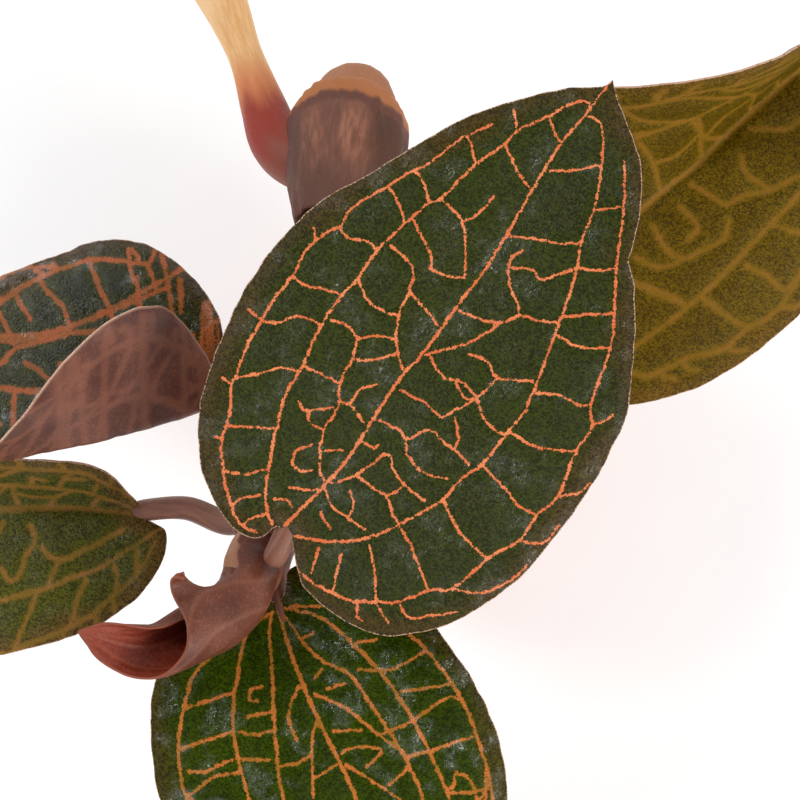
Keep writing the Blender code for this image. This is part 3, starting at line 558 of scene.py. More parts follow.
def arc_lengths(points):
    return np.concatenate([[0.0], np.cumsum(np.linalg.norm(np.diff(points, axis=0), axis=1))])


def at_lengths(rows, along, wanted):
    """The rows at wanted lengths along them, where along is each row's own."""
    return np.column_stack([np.interp(wanted, along, column) for column in rows.T])


def resample(curve, step, dimensions):
    """The curve's rows at equal distances of about step, measured in its first dimensions."""
    along = arc_lengths(curve[:, :dimensions])
    count = max(2, round(along[-1] / step))
    return at_lengths(curve, along, np.linspace(0.0, along[-1], count + 1))


def at_shares(path, shares):
    """The places at shares of the path's length."""
    along = arc_lengths(path)
    return at_lengths(path, along, np.asarray(shares) * along[-1])


def unit(vectors):
    return vectors / np.linalg.norm(vectors, axis=-1, keepdims=True)


def smooth_step(values, low, high):
    share = np.clip((values - low) / (high - low), 0.0, 1.0)
    return share * share * (3 - 2 * share)


def ripple(points, size, seed):
    """Smooth seeded noise from -1 to 1 over points in the plane or in space, with features of a size."""
    away = Vector((seed * 17.3, seed * 5.1, seed * 9.7))
    spots = np.zeros((len(points), 3))
    spots[:, : points.shape[1]] = points / size
    return np.array([noise.noise(Vector(spot) + away) for spot in spots]) * 1.6


def make_piece(name, points, faces, surfaces, which=None, values=None, smooth=True):
    """A visible piece: points in millimetres, faces, materials, each face's material, and attributes."""
    mesh = bpy.data.meshes.new(name)
    mesh.from_pydata((np.asarray(points) * MM).tolist(), [], faces)
    for surface in surfaces:
        mesh.materials.append(surface)
    if which is not None:
        mesh.polygons.foreach_set("material_index", which)
    for key, column in (values or {}).items():
        kind = "FLOAT" if np.ndim(column) == 1 else "FLOAT_VECTOR"
        layer = mesh.attributes.new(key, kind, "POINT")
        layer.data.foreach_set("value" if kind == "FLOAT" else "vector", np.ravel(column).astype(np.float32))
    mesh.polygons.foreach_set("use_smooth", [smooth] * len(mesh.polygons))
    made = bpy.data.objects.new(name, mesh)
    bpy.context.scene.collection.objects.link(made)
    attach(made, "root")
    return made


# Node trees


def set_inputs(tree, made, inputs):
    """Sets a node's inputs, each to a constant or to another node's output."""
    for key, value in inputs.items():
        socket = made.inputs[key]
        if isinstance(value, bpy.types.NodeSocket):
            tree.links.new(value, socket)
        else:
            socket.default_value = value


def node(tree, kind, inputs=None, **settings):
    """A node of a kind with its settings and its inputs."""
    made = tree.nodes.new(kind)
    for key, value in settings.items():
        setattr(made, key, value)
    set_inputs(tree, made, inputs or {})
    return made


def attribute(tree, name, output="Fac"):
    return node(tree, "ShaderNodeAttribute", attribute_name=name).outputs[output]


def in_millimetres(tree):
    """The surface's own coordinates, in millimetres."""
    place = node(tree, "ShaderNodeTexCoord").outputs["Object"]
    return node(tree, "ShaderNodeVectorMath", {0: place, "Scale": 1 / MM}, operation="SCALE").outputs[0]


def stretched(tree, place, factors):
    return node(tree, "ShaderNodeVectorMath", {0: place, 1: factors}, operation="MULTIPLY").outputs[0]


def grain(tree, place, size, detail=3.0, rough=0.55, distortion=0.0):
    """Noise whose features have a size in millimetres."""
    inputs = {"Vector": place, "Scale": 1 / size, "Detail": detail, "Roughness": rough,
              "Distortion": distortion}
    return node(tree, "ShaderNodeTexNoise", inputs).outputs["Fac"]


def cells(tree, place, size, output="Distance"):
    """Cells whose width is a size in millimetres."""
    inputs = {"Vector": place, "Scale": 1 / size}
    return node(tree, "ShaderNodeTexVoronoi", inputs).outputs[output]


def maths(tree, operation, a, b=0.0):
    return node(tree, "ShaderNodeMath", {0: a, 1: b}, operation=operation).outputs[0]


def between(tree, value, low, high, start=0.0, end=1.0):
    """A value carried smoothly from low..high to start..end."""
    inputs = {"Value": value, "From Min": low, "From Max": high, "To Min": start, "To Max": end}
    return node(tree, "ShaderNodeMapRange", inputs, interpolation_type="SMOOTHSTEP").outputs["Result"]


def blend(tree, share, first, second, kind="MIX"):
    """A mix of two colours, each another node's output or three steps from 0 to 255."""
    first, second = (paint(*side) if isinstance(side, tuple) else side for side in (first, second))
    inputs = {0: share, 6: first, 7: second}
    return node(tree, "ShaderNodeMix", inputs, data_type="RGBA", blend_type=kind).outputs[2]


def bump(tree, height, depth, strength=1.0, normal=None):
    """A normal from a height of 0 to 1, with its depth in millimetres."""
    inputs = {"Height": height, "Distance": depth * MM, "Strength": strength}
    if normal is not None:
        inputs["Normal"] = normal
    return node(tree, "ShaderNodeBump", inputs).outputs["Normal"]


def new_material(name):
    """A material and its tree, with only an output and a shader."""
    made = bpy.data.materials.new(name)
    made.use_nodes = True
    return made, made.node_tree, made.node_tree.nodes["Principled BSDF"]


def shade(tree, shader, **inputs):
    """Sets the shader's inputs, whose names have their spaces written as underscores."""
    set_inputs(tree, shader, {key.replace("_", " "): value for key, value in inputs.items()})


# Leaf geometry


def outline_points(length, form, step):
    """The form's closed outline in millimetres, from the tip round the left side and back."""
    right, left = (np.array(HALVES[half]) * length for half in form["halves"])
    right[:, 1] *= form["widths"][0]
    left[:, 1] *= -form["widths"][1]
    return resample(dense_curve(np.vstack([left[::-1], right])), step, 2)[:-1]


def half_width(form, right_side, share):
    """How wide one half of a form is at shares of its midrib, in lengths of the midrib."""
    half = np.array(HALVES[form["halves"][0 if right_side else 1]])
    half = half[half[:, 0].argmin() :]
    return np.interp(share, half[:, 0], half[:, 1]) * form["widths"][0 if right_side else 1]


def midrib_length(form):
    return arc_lengths(dense_curve(form["midrib"]))[-1]


def midrib_frames(form, along):
    """Place, forward, right and up at distances along a midrib, which runs straight on past its ends."""
    curve = dense_curve(form["midrib"])
    lengths = arc_lengths(curve)
    ahead = unit(np.gradient(curve, axis=0))
    held = np.clip(along, 0.0, lengths[-1])
    forward = unit(at_lengths(ahead, lengths, held))
    place = at_lengths(curve, lengths, held) + forward * (along - held)[:, None]
    right = unit(np.cross(forward, np.array(form["faces"], float)))
    return place, forward, right, np.cross(right, forward)


def half_turn(form, along, across, reach, length):
    """The angle between a blade's half and its flat, at a reach out from the midrib."""
    right_side = across >= 0
    share = np.clip(along / length, 0.0, 1.0)
    settling = smooth_step(share, 0.0, form.get("settled", 1.0))
    folds = np.where(right_side, *form["folds"])
    late_folds = np.where(right_side, *form.get("late_folds", form["folds"]))
    curl = np.where(right_side, *form["curls"])
    folded = np.radians(folds + (late_folds - folds) * settling) * np.clip(reach / CREASE, 0.0, 1.0)
    angle = folded + np.radians(curl) * reach / (0.3 * length)
    if "roll" in form:
        near, far, radius, most, end = form["roll"]
        start = length * (near + (far - near) * share)
        most = math.radians(most) * (1 - np.clip(share / end, 0.0, 1.0) ** 1.3)
        angle = angle + np.where(right_side, 0.0, np.clip((reach - start) / radius, 0.0, most))
    return angle


def furled_turn(form, along, across, reach, length):
    """The angle of the young blade's scroll, whose left half ends in a lip that curls outwards."""
    right_side = across >= 0
    share = np.clip(along / length, 0.0, 1.0)
    start, swelling, thinning = FURLED_TAPER
    radius = FURLED_RADIUS * (start + swelling * share + thinning * share**2)
    scroll = np.where(right_side, FURLED_SPREAD[1], FURLED_SPREAD[0])
    angle = np.log(1 + scroll * reach / radius) / scroll
    lip_start, lip_radius = FURLED_LIP[0] * length, FURLED_LIP[1]
    return angle - np.where(right_side, 0.0, np.maximum(0.0, reach - lip_start) * (1 / lip_radius + 0.3))


def bend(flat, form, turn, length, steps=40):
    """Carries flat points (along, across) into space, with each half turned about the midrib."""
    along, across = flat[:, 0], flat[:, 1]
    place, _, right, up = midrib_frames(form, along)
    side = np.zeros(len(flat))
    height = np.zeros(len(flat))
    for k in range(steps):
        reach = np.abs(across) * (k + 0.5) / steps
        angle = turn(form, along, across, reach, length)
        side += np.cos(angle) * np.abs(across) / steps
        height += np.sin(angle) * np.abs(across) / steps
    share = np.abs(across) / (0.35 * length)
    height += form["wave"] * np.minimum(share, 1.2) ** 2 * np.sin(9.5 * along / length + np.sign(across))
    return place + right * (side * np.sign(across))[:, None] + up * height[:, None]


def upward(flat, form, turn, length):
    """The blade's normals, on its upper side."""
    step = 0.12
    ahead = bend(flat + (step, 0.0), form, turn, length) - bend(flat - (step, 0.0), form, turn, length)
    aside = bend(flat + (0.0, step), form, turn, length) - bend(flat - (0.0, step), form, turn, length)
    return unit(np.cross(aside, ahead))


def inside(points, loop):
    """Whether each point lies in the loop."""
    a, b = loop, np.roll(loop, -1, axis=0)
    slope = (b[:, 0] - a[:, 0]) / np.where(a[:, 1] == b[:, 1], 1.0, b[:, 1] - a[:, 1])
    within = []
    for start in range(0, len(points), 4000):
        x, y = points[start : start + 4000, :1], points[start : start + 4000, 1:]
        crosses = (a[:, 1] > y) != (b[:, 1] > y)
        meets = a[:, 0] + (y - a[:, 1]) * slope
        within.append(np.count_nonzero(crosses & (x < meets), axis=1) % 2 == 1)
    return np.concatenate(within)


def nearest(points, targets):
    """For each point in the flat, which target is nearest and how far off it is."""
    tree = kdtree.KDTree(len(targets))
    for k, (x, y) in enumerate(targets):
        tree.insert((x, y, 0.0), k)
    tree.balance()
    found = [tree.find((x, y, 0.0)) for x, y in points]
    return np.array([item[1] for item in found]), np.array([item[2] for item in found])


def rim_distance(points, loop):
    closed = np.vstack([loop, loop[:1]])
    return nearest(points, resample(closed, 0.04, 2))[1]


def filled(loop, cell, extra):
    """Even triangles that fill the loop, with the extra points among their corners."""
    low, high = loop.min(axis=0), loop.max(axis=0)
    row_gap = cell * math.sqrt(3) / 2
    rows, columns = int((high[1] - low[1]) / row_gap) + 2, int((high[0] - low[0]) / cell) + 2
    row, column = np.mgrid[0:rows, 0:columns]
    grid = np.stack([low[0] + (column + 0.5 * (row % 2)) * cell, low[1] + row * row_gap], axis=-1)
    spots = grid.reshape(-1, 2)
    if len(extra):
        taken = {tuple(key) for key in np.round(extra / (0.9 * cell)).astype(int)}
        keys = np.round(spots / (0.9 * cell)).astype(int)
        spots = np.vstack([extra, spots[[tuple(key) not in taken for key in keys]]])
    spots = spots[inside(spots, loop)]
    kept = spots[rim_distance(spots, loop) > 0.5 * cell]
    points = [Vector(p) for p in np.vstack([loop, kept])]
    edges = [(k, (k + 1) % len(loop)) for k in range(len(loop))]
    made = geometry.delaunay_2d_cdt(points, edges, [], 1, 1e-7)
    edge_corners = np.zeros(len(loop), int)
    for corner, sources in enumerate(made[3]):
        for source in sources:
            if source < len(loop):
                edge_corners[source] = corner
    # The flat's right-hand side is its +Y, so its faces are turned round to look up.
    faces = np.array([tuple(face)[::-1] for face in made[2]])
    return np.array([tuple(p) for p in made[0]]), faces, edge_corners


# Veins


def photo_place(points):
    """Where the photograph shows points given in millimetres, in its pixels."""
    offset = points - VIEW_CENTRE
    up = offset @ (0.0, math.sin(VIEW_ELEVATION), math.cos(VIEW_ELEVATION))
    nearer = offset @ (0.0, -math.cos(VIEW_ELEVATION), math.sin(VIEW_ELEVATION))
    scale = PHOTO_SCALE * VIEW_DISTANCE / (VIEW_DISTANCE - nearer)
    return np.column_stack([PHOTO_MIDDLE + offset[:, 0] * scale, PHOTO_MIDDLE - up * scale])


def on_leaf(lines, form):
    """Lines that the photograph shows on an open blade, given in its pixels, as lines in its flat."""
    length = midrib_length(form)
    pixels = np.array([pixel for line in lines for pixel in line], float)

    def seen(flat):
        return photo_place(bend(flat, form, half_turn, length))

    along, across = np.meshgrid(np.linspace(-0.1, 1.05, 80) * length, np.linspace(-0.5, 0.5, 80) * length)
    guesses = np.column_stack([along.ravel(), across.ravel()])
    shown = seen(guesses)
    flat = np.array([guesses[((shown - pixel) ** 2).sum(axis=1).argmin()] for pixel in pixels])
    step = 0.05
    for _ in range(6):
        miss = pixels - seen(flat)
        ahead = (seen(flat + (step, 0.0)) - seen(flat - (step, 0.0))) / (2 * step)
        aside = (seen(flat + (0.0, step)) - seen(flat - (0.0, step))) / (2 * step)
        area = ahead[:, 0] * aside[:, 1] - ahead[:, 1] * aside[:, 0]
        move = np.column_stack([
            (miss[:, 0] * aside[:, 1] - miss[:, 1] * aside[:, 0]) / area,
            (ahead[:, 0] * miss[:, 1] - ahead[:, 1] * miss[:, 0]) / area,
        ])
        flat = flat + np.clip(move, -1.0, 1.0)
    return np.split(flat, np.cumsum([len(line) for line in lines])[:-1])


def from_crop(points, crop):
    """The photograph's pixels of points read in a magnified crop of it."""
    left, top, magnified = crop
    return [(left + x / magnified, top + y / magnified) for x, y in points]


def vein(path, halves, dice, shake=0.032, thick=1.0, ramp=0.0):
    """A vein along a path in the flat: finely spaced points, a little shaky, and its half widths.

    It grows to its thickness over a first share of its length, so that veins stay apart at a leaf's base.
    """
    fine = resample(dense_curve(path, 10), 0.22, 2)
    away = np.array([[dice.gauss(0, shake), dice.gauss(0, shake)] for _ in fine])
    away = (away + np.roll(away, 1, axis=0)) / 1.4
    away[0] = away[-1] = 0.0
    share = np.linspace(0.0, 1.0, len(fine))
    growth = np.clip(share / ramp, 0.0, 1.0) if ramp else 1.0
    width = thick**growth * (halves[0] + (halves[1] - halves[0]) * share)
    width = width * [1 + 0.16 * dice.gauss(0, 1) for _ in fine]
    return fine + away, np.maximum(width, 0.06)


def rungs(first, second, start, end, count, dice):
    """Cross veins from one long vein to the next. Some end free and some join the one before."""
    out = []
    before = None
    for k in range(count):
        share = start + (end - start) * (k + 0.5 + dice.uniform(-0.28, 0.28)) / count
        lean = dice.uniform(-0.035, 0.05)
        a = at_shares(first, [share])[0]
        b = at_shares(second, [min(0.99, max(0.01, share + lean))])[0]
        across = b - a
        normal = np.array([-across[1], across[0]])
        middle = a + across * dice.uniform(0.35, 0.65) + normal * dice.uniform(-0.16, 0.16)
        free = dice.random() < 0.16
        out.append([a, a + across * 0.15 + normal * 0.04, middle] if free else [a, middle, b])
        if before is not None and dice.random() < 0.42:
            kink = (before + middle) / 2 + across * dice.uniform(-0.14, 0.14)
            out.append([before, kink, middle] if dice.random() < 0.6 else [middle, kink])
        before = middle
    return out


def spurs(nerve, edge_side, start, end, count, dice):
    """Short veins that leave a long one towards the margin and end free."""
    out = []
    for k in range(count):
        share = start + (end - start) * (k + 0.5 + dice.uniform(-0.3, 0.3)) / count
        a, b = at_shares(nerve, [share, min(1.0, share + 0.02)])
        ahead = unit(b - a)
        aside = np.array([-ahead[1], ahead[0]]) * edge_side
        reach = dice.uniform(0.8, 1.9)
        middle = a + aside * reach * 0.6 + ahead * reach * 0.25
        out.append([a, middle, a + aside * reach + ahead * reach * 0.7])
    return out


def main_nerves():
    """The main leaf's long veins, in its flat: the midrib, then the inner and outer ones of each side."""
    form = LEAVES["leaf_main"]
    traced = (MAIN_MIDRIB, MAIN_LEFT_INNER, MAIN_LEFT_OUTER, MAIN_RIGHT_INNER, MAIN_RIGHT_OUTER)
    return on_leaf(traced, form)


def like_main(nerves, form):
    """Long veins like the main leaf's, fitted to another leaf."""
    model = LEAVES["leaf_main"]
    out = []
    for nerve in nerves:
        share, away = nerve.T / midrib_length(model)
        side = away > 0
        reach = np.where(side, half_width(model, True, share), half_width(model, False, share))
        wanted = np.where(side, half_width(form, True, share), half_width(form, False, share))
        out.append(np.column_stack([share, away * wanted / np.maximum(reach, 0.02)]) * midrib_length(form))
    return out


def all_veins(nerves, crosses, dice, thick=1.0):
    """A leaf's veins: its midrib, the other long ones and the cross ones."""
    out = [vein(nerves[0], MIDRIB_HALF, dice, 0.02, thick, 0.2)]
    out += [vein(nerve, LONG_HALF, dice, 0.03, thick, 0.2) for nerve in nerves[1:]]
    return out + [vein(path, CROSS_HALF, dice, thick=thick) for path in crosses]


def main_veins(dice):
    """The main leaf's veins, each where the photograph shows it."""
    form = LEAVES["leaf_main"]
    crosses = on_leaf([from_crop(line, MAIN_CROP) for line in MAIN_CROSSES], form)
    return all_veins(main_nerves(), crosses, dice)


def front_veins(dice):
    """The front leaf's veins: traced where the photograph shows them, and seeded on from there."""
    form = LEAVES["leaf_front"]
    traced = (FRONT_MIDRIB, FRONT_LEFT_INNER, FRONT_LEFT_OUTER, FRONT_LEFT_EDGE_VEIN, FRONT_RIGHT_INNER,
              FRONT_RIGHT_MIDDLE, FRONT_RIGHT_OUTER)
    nerves = on_leaf(traced, form)
    crosses = on_leaf([from_crop(line, FRONT_CROP) for line in FRONT_CROSSES], form)
    fine = [dense_curve(nerve, 8) for nerve in nerves]
    for first, second in ((0, 1), (1, 2), (2, 3), (0, 4), (4, 5), (5, 6)):
        crosses += rungs(fine[first], fine[second], FRONT_SEEN, 0.93, 7, dice)
    return all_veins(nerves, crosses, dice, 1.35)


def partly_seen_veins(name, dice):
    """A leaf's veins: traced where the photograph shows them, and a net like the main leaf's elsewhere."""
    form, seen = LEAVES[name], PARTLY_SEEN[name]
    nerves = like_main(main_nerves(), form)
    for number, line in seen["long"].items():
        traced = on_leaf([from_crop(line, seen["crop"])], form)[0]
        beyond = nerves[number][:, 0] > traced[:, 0].max() + 1.5
        nerves[number] = np.vstack([traced, nerves[number][beyond]])
    crosses = on_leaf([from_crop(line, seen["crop"]) for line in seen["crosses"]], form)
    fine = [dense_curve(nerve, 8) for nerve in nerves]
    for first, second, start, end, count in seen["seeded"]:
        crosses += rungs(fine[first], fine[second], start, end, count, dice)
    for nerve, side in ((fine[2], -1), (fine[4], 1)):
        crosses += spurs(nerve, side, 0.1, 0.9, 12, dice)
    return all_veins(nerves, crosses, dice, seen["thick"])


def vein_field(flat, veins):
    """How far each point is from the edge of the nearest vein: negative inside one."""
    spots = [resample(np.column_stack([path, halves]), 0.05, 2) for path, halves in veins]
    spots = np.vstack(spots)
    which, distance = nearest(flat, spots[:, :2])
    return np.minimum(distance - spots[which, 2], FAR)


def leaf_loop(form, step=0.28):
    """The blade's edge in its flat, with the small unevenness of a real one."""
    return uneven(outline_points(midrib_length(form), form, step))


def uneven(loop):
    shift = np.column_stack([ripple(loop, 1.3, 3), ripple(loop, 1.3, 4)])
    return loop + shift * 0.07


def main_loop():
    """The main leaf's edge, where the photograph shows it."""
    form = LEAVES["leaf_main"]
    edge = on_leaf([MAIN_LEFT_EDGE + MAIN_RIGHT_EDGE[::-1]], form)[0]
    closed = np.vstack([edge, edge[:1]])
    return uneven(resample(dense_curve(closed), 0.26, 2)[:-1])


def sheet(flat, form, turn, rim, field, side, seed):
    """One face of a blade in space: 1 is its upper side, -1 its underside."""
    length = midrib_length(form)
    middle = bend(flat, form, turn, length)
    normals = upward(flat, form, turn, length)
    full = UPPER_OFFSET if side > 0 else UNDER_OFFSET
    height = side * (RIM_OFFSET + (full - RIM_OFFSET) * smooth_step(rim, 0.0, 1.0))
    quilt = QUILT_HEIGHT * (1 - np.exp(-((np.maximum(field, 0.0) / QUILT_REACH) ** 2)))
    groove = MIDRIB_GROOVE * np.exp(-((flat[:, 1] / 0.45) ** 2)) * smooth_step(rim, 0.0, 2.0)
    waves = RIM_WAVE * ripple(flat, 2.6, seed + 1) * smooth_step(rim, 2.4, 0.0)
    waves += PUCKER * ripple(flat, 4.5, seed)
    return middle + normals * (height + quilt - groove + waves)[:, None]


def blade_piece(name, form, turn, loop, veins, surfaces, under_cell, seed):
    """A blade: a fine upper side, an underside, and the thin rim between them."""
    vein_points = np.vstack([path for path, _ in veins])
    flats, faces, rims, fields, spots, bounds = [], [], [], [], [], []
    for side, cell, extra in ((1, form["cell"], vein_points), (-1, under_cell, np.zeros((0, 2)))):
        flat, triangles, edge = filled(loop, cell, extra)
        rim = rim_distance(flat, loop)
        field = vein_field(flat, veins)
        flats.append(flat)
        faces.append(triangles if side > 0 else triangles[:, ::-1])
        rims.append(rim)
        fields.append(field)
        spots.append(sheet(flat, form, turn, rim, field, side, seed))
        bounds.append(edge)
    shift = len(flats[0])
    upper, under = bounds[0], bounds[1] + shift
    area = np.sum(loop[:, 0] * np.roll(loop[:, 1], -1) - np.roll(loop[:, 0], -1) * loop[:, 1])
    if area > 0:
        upper, under = upper[::-1], under[::-1]
    strip = np.column_stack([np.roll(upper, -1), upper, under, np.roll(under, -1)])
    values = {"vein": np.concatenate(fields), "rim": np.concatenate(rims)}
    which = [0] * len(faces[0]) + [1] * len(faces[1]) + [0] * len(strip)
    all_faces = faces[0].tolist() + (faces[1] + shift).tolist() + strip.tolist()
    return make_piece(name, np.vstack(spots), all_faces, surfaces, which, values)


# Stems, stalks, sheaths and roots


def frames(path):
    """Two directions across the path at each of its points, turned as little as possible along it.

    Where the path stands still or turns back, as at a cuff's rims, they stay as they were.
    """
    tangents = np.gradient(path, axis=0)
    if not tangents[0].any():
        tangents[0] = tangents[1]
    for k in range(1, len(tangents)):
        if tangents[k] @ tangents[k - 1] <= 0:
            tangents[k] = tangents[k - 1]
    tangents = unit(tangents)
    across = np.cross(tangents[0], (0.0, 0.0, 1.0))
    if np.linalg.norm(across) < 0.1:
        across = np.cross(tangents[0], (1.0, 0.0, 0.0))
    sides = []
    for tangent in tangents:
        across = unit(across - tangent * (across @ tangent))
        sides.append((across, np.cross(tangent, across)))
    return sides


def rounded_ends(rows):
    """The rows with smaller ones added at both ends, so that the tube closes in a dome."""
    first, last = rows[0], rows[-1]
    starts, ends = [], []
    for kept, end, neighbour in ((starts, first, rows[1]), (ends, last, rows[-2])):
        away = unit(end[:3] - neighbour[:3])
        for reach, share in ((0.38, 0.92), (0.7, 0.71), (0.92, 0.4), (0.99, 0.12)):
            row = end.copy()
            row[:3] = end[:3] + away * reach * end[3]
            row[3] = share * end[3]
            kept.append(row)
    return np.vstack([*starts[::-1], rows, *ends])


def quads(rings, sides):
    """The faces between rings of points, one after the other, each closed on itself."""
    faces = []
    for start in range(0, (rings - 1) * sides, sides):
        for k in range(sides):
            a, b = start + k, start + (k + 1) % sides
            faces.append((a, b, b + sides, a + sides))
    return faces


def tube(rows, sides, relief=None):
    """A closed tube round rows of place and radius: its points, faces, and the way its grain runs."""
    points, grains = [], []
    turns = np.arange(sides) * 2 * math.pi / sides
    ring = np.column_stack([np.cos(turns), np.sin(turns)])
    along = arc_lengths(rows[:, :3])
    for row, at, (across, over) in zip(rows, along, frames(rows[:, :3])):
        grained = np.column_stack([ring * row[3], np.full(sides, at)])
        radius = row[3] + (relief(grained, at / along[-1]) if relief else 0.0)
        out = ring[:, :1] * across + ring[:, 1:] * over
        points.append(row[:3] + out * np.reshape(radius, (-1, 1)))
        grains.append(grained)
    faces = quads(len(rows), sides)
    last = (len(rows) - 1) * sides
    faces.append(tuple(reversed(range(sides))))
    faces.append(tuple(range(last, last + sides)))
    return np.vstack(points), faces, np.vstack(grains), np.repeat(along / along[-1], sides)


def tube_piece(name, rows, sides, surface, relief=None):
    points, faces, grained, share = tube(rows, sides, relief)
    return make_piece(name, points, faces, [surface], None, {"grain": grained, "share": share})


def joined_tubes(name, tubes, surface):
    """Several tubes as one piece."""
    points, faces, grains, shares = [], [], [], []
    count = 0
    for made in tubes:
        points.append(made[0])
        faces += [tuple(corner + count for corner in face) for face in made[1]]
        grains.append(made[2])
        shares.append(made[3])
        count += len(made[0])
    values = {"grain": np.vstack(grains), "share": np.concatenate(shares)}
    return make_piece(name, np.vstack(points), faces, [surface], None, values)


def ridges(depth, width, seed):
    """Relief of lengthwise ridges, as high as depth and about as wide as width."""

    def relief(grained, _):
        return depth * ripple(grained * (1.0, 1.0, 0.12), width, seed)

    return relief


def stem_rows():
    rows = resample(dense_curve(STEM_PATH), 0.45, 3)
    for height in NODE_HEIGHTS:
        rows[:, 3] += NODE_SWELLING * np.exp(-(((rows[:, 2] - height) / NODE_WIDTH) ** 2))
    return rows


def below_tip(start, end, step=0.5):
    """The stem's rows between two distances below its growing tip."""
    rows = resample(dense_curve(STEM_PATH), 0.25, 3)
    along = arc_lengths(rows[:, :3])
    count = max(3, round((end - start) / step) + 1)
    return at_lengths(rows, along, along[-1] - np.linspace(end, start, count))


def make_stem(surface):
    tubes = [tube(rounded_ends(stem_rows()), 44, ridges(0.09, 0.8, 21))]
    radii = np.linspace(BURIED_ROOT_RADIUS, 0.7 * BURIED_ROOT_RADIUS, 4)
    for control in BURIED_ROOTS:
        rows = resample(dense_curve(np.column_stack([control, radii])), 0.8, 3)
        tubes.append(tube(rounded_ends(rows), 12))
    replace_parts(joined_tubes("stem_skin", tubes, surface), "stem")


def make_aerial_root(surface):
    rows = resample(dense_curve(np.column_stack([AERIAL_ROOT, AERIAL_ROOT_RADII])), 0.4, 3)
    piece = tube_piece("aerial_root_skin", rounded_ends(rows), 36, surface, ridges(0.08, 1.1, 33))
    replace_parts(piece, "aerial_root")


def cuff(rows, wall, lift, seed, folds=0.06):
    """Rows and relief of a sheath that clasps the stem: thin at its lower rim, standing off at its upper."""
    share = np.linspace(0.0, 1.0, len(rows))
    outer = rows.copy()
    outer[:, 3] = rows[:, 3] + CLEARANCE * smooth_step(share, 0.0, 0.12) + wall(share)
    first, last = outer[:1].copy(), outer[-1:].copy()
    first[:, 3] = rows[0, 3] - 0.1
    last[:, 3] -= 0.22
    inner = last.copy()
    inner[:, :3] -= unit(rows[-1, :3] - rows[-2, :3]) * lift
    inner[:, 3] = rows[-1, 3] - 0.1
    return np.vstack([first, outer, last, inner]), ridges(folds, 0.7, seed)


def make_old_sheath(surface):
    rim, bulge = OLD_SHEATH_WALL

    def wall(share):
        return 0.85 * rim + bulge * np.sin(math.pi * share**OLD_SHEATH_PEAK)

    rows, relief = cuff(below_tip(*OLD_SHEATH, 0.35), wall, 0.8, 41, folds=0.2)
    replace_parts(tube_piece("old_sheath_skin", rows, 64, surface, relief), "old_sheath")


def stalk_rows(form):
    """A leaf stalk from the stem's middle to the blade, which it runs into under the midrib."""
    start = below_tip(*form["sheath"])
    begin = start[len(start) // 2, :3]
    ends = np.array([0.0, 2.2, 4.4, 7.0])
    place, _, _, up = midrib_frames(form, ends)
    place -= up * np.array([[0.75], [0.5], [0.25], [0.1]])
    rows = resample(dense_curve([begin, *form["stalk"], *place]), 0.35, 3)
    share = np.linspace(0.0, 1.0, len(rows))
    radii = PETIOLE_RADIUS * (1.12 - 0.25 * share) * np.clip((1 - share) / 0.35, 0.22, 1.0)
    return np.column_stack([rows, radii])


def make_stalk(name, form, surface, seed):
    stalk = tube(rounded_ends(stalk_rows(form)), 28, ridges(0.05, 0.5, seed))
    rows, relief = cuff(below_tip(*form["sheath"], 0.3), lambda share: 0.25 + 0.5 * share, 0.5, seed + 1)
    return joined_tubes(name + "_stalk", [stalk, tube(rows, 40, relief)], surface)


# Materials


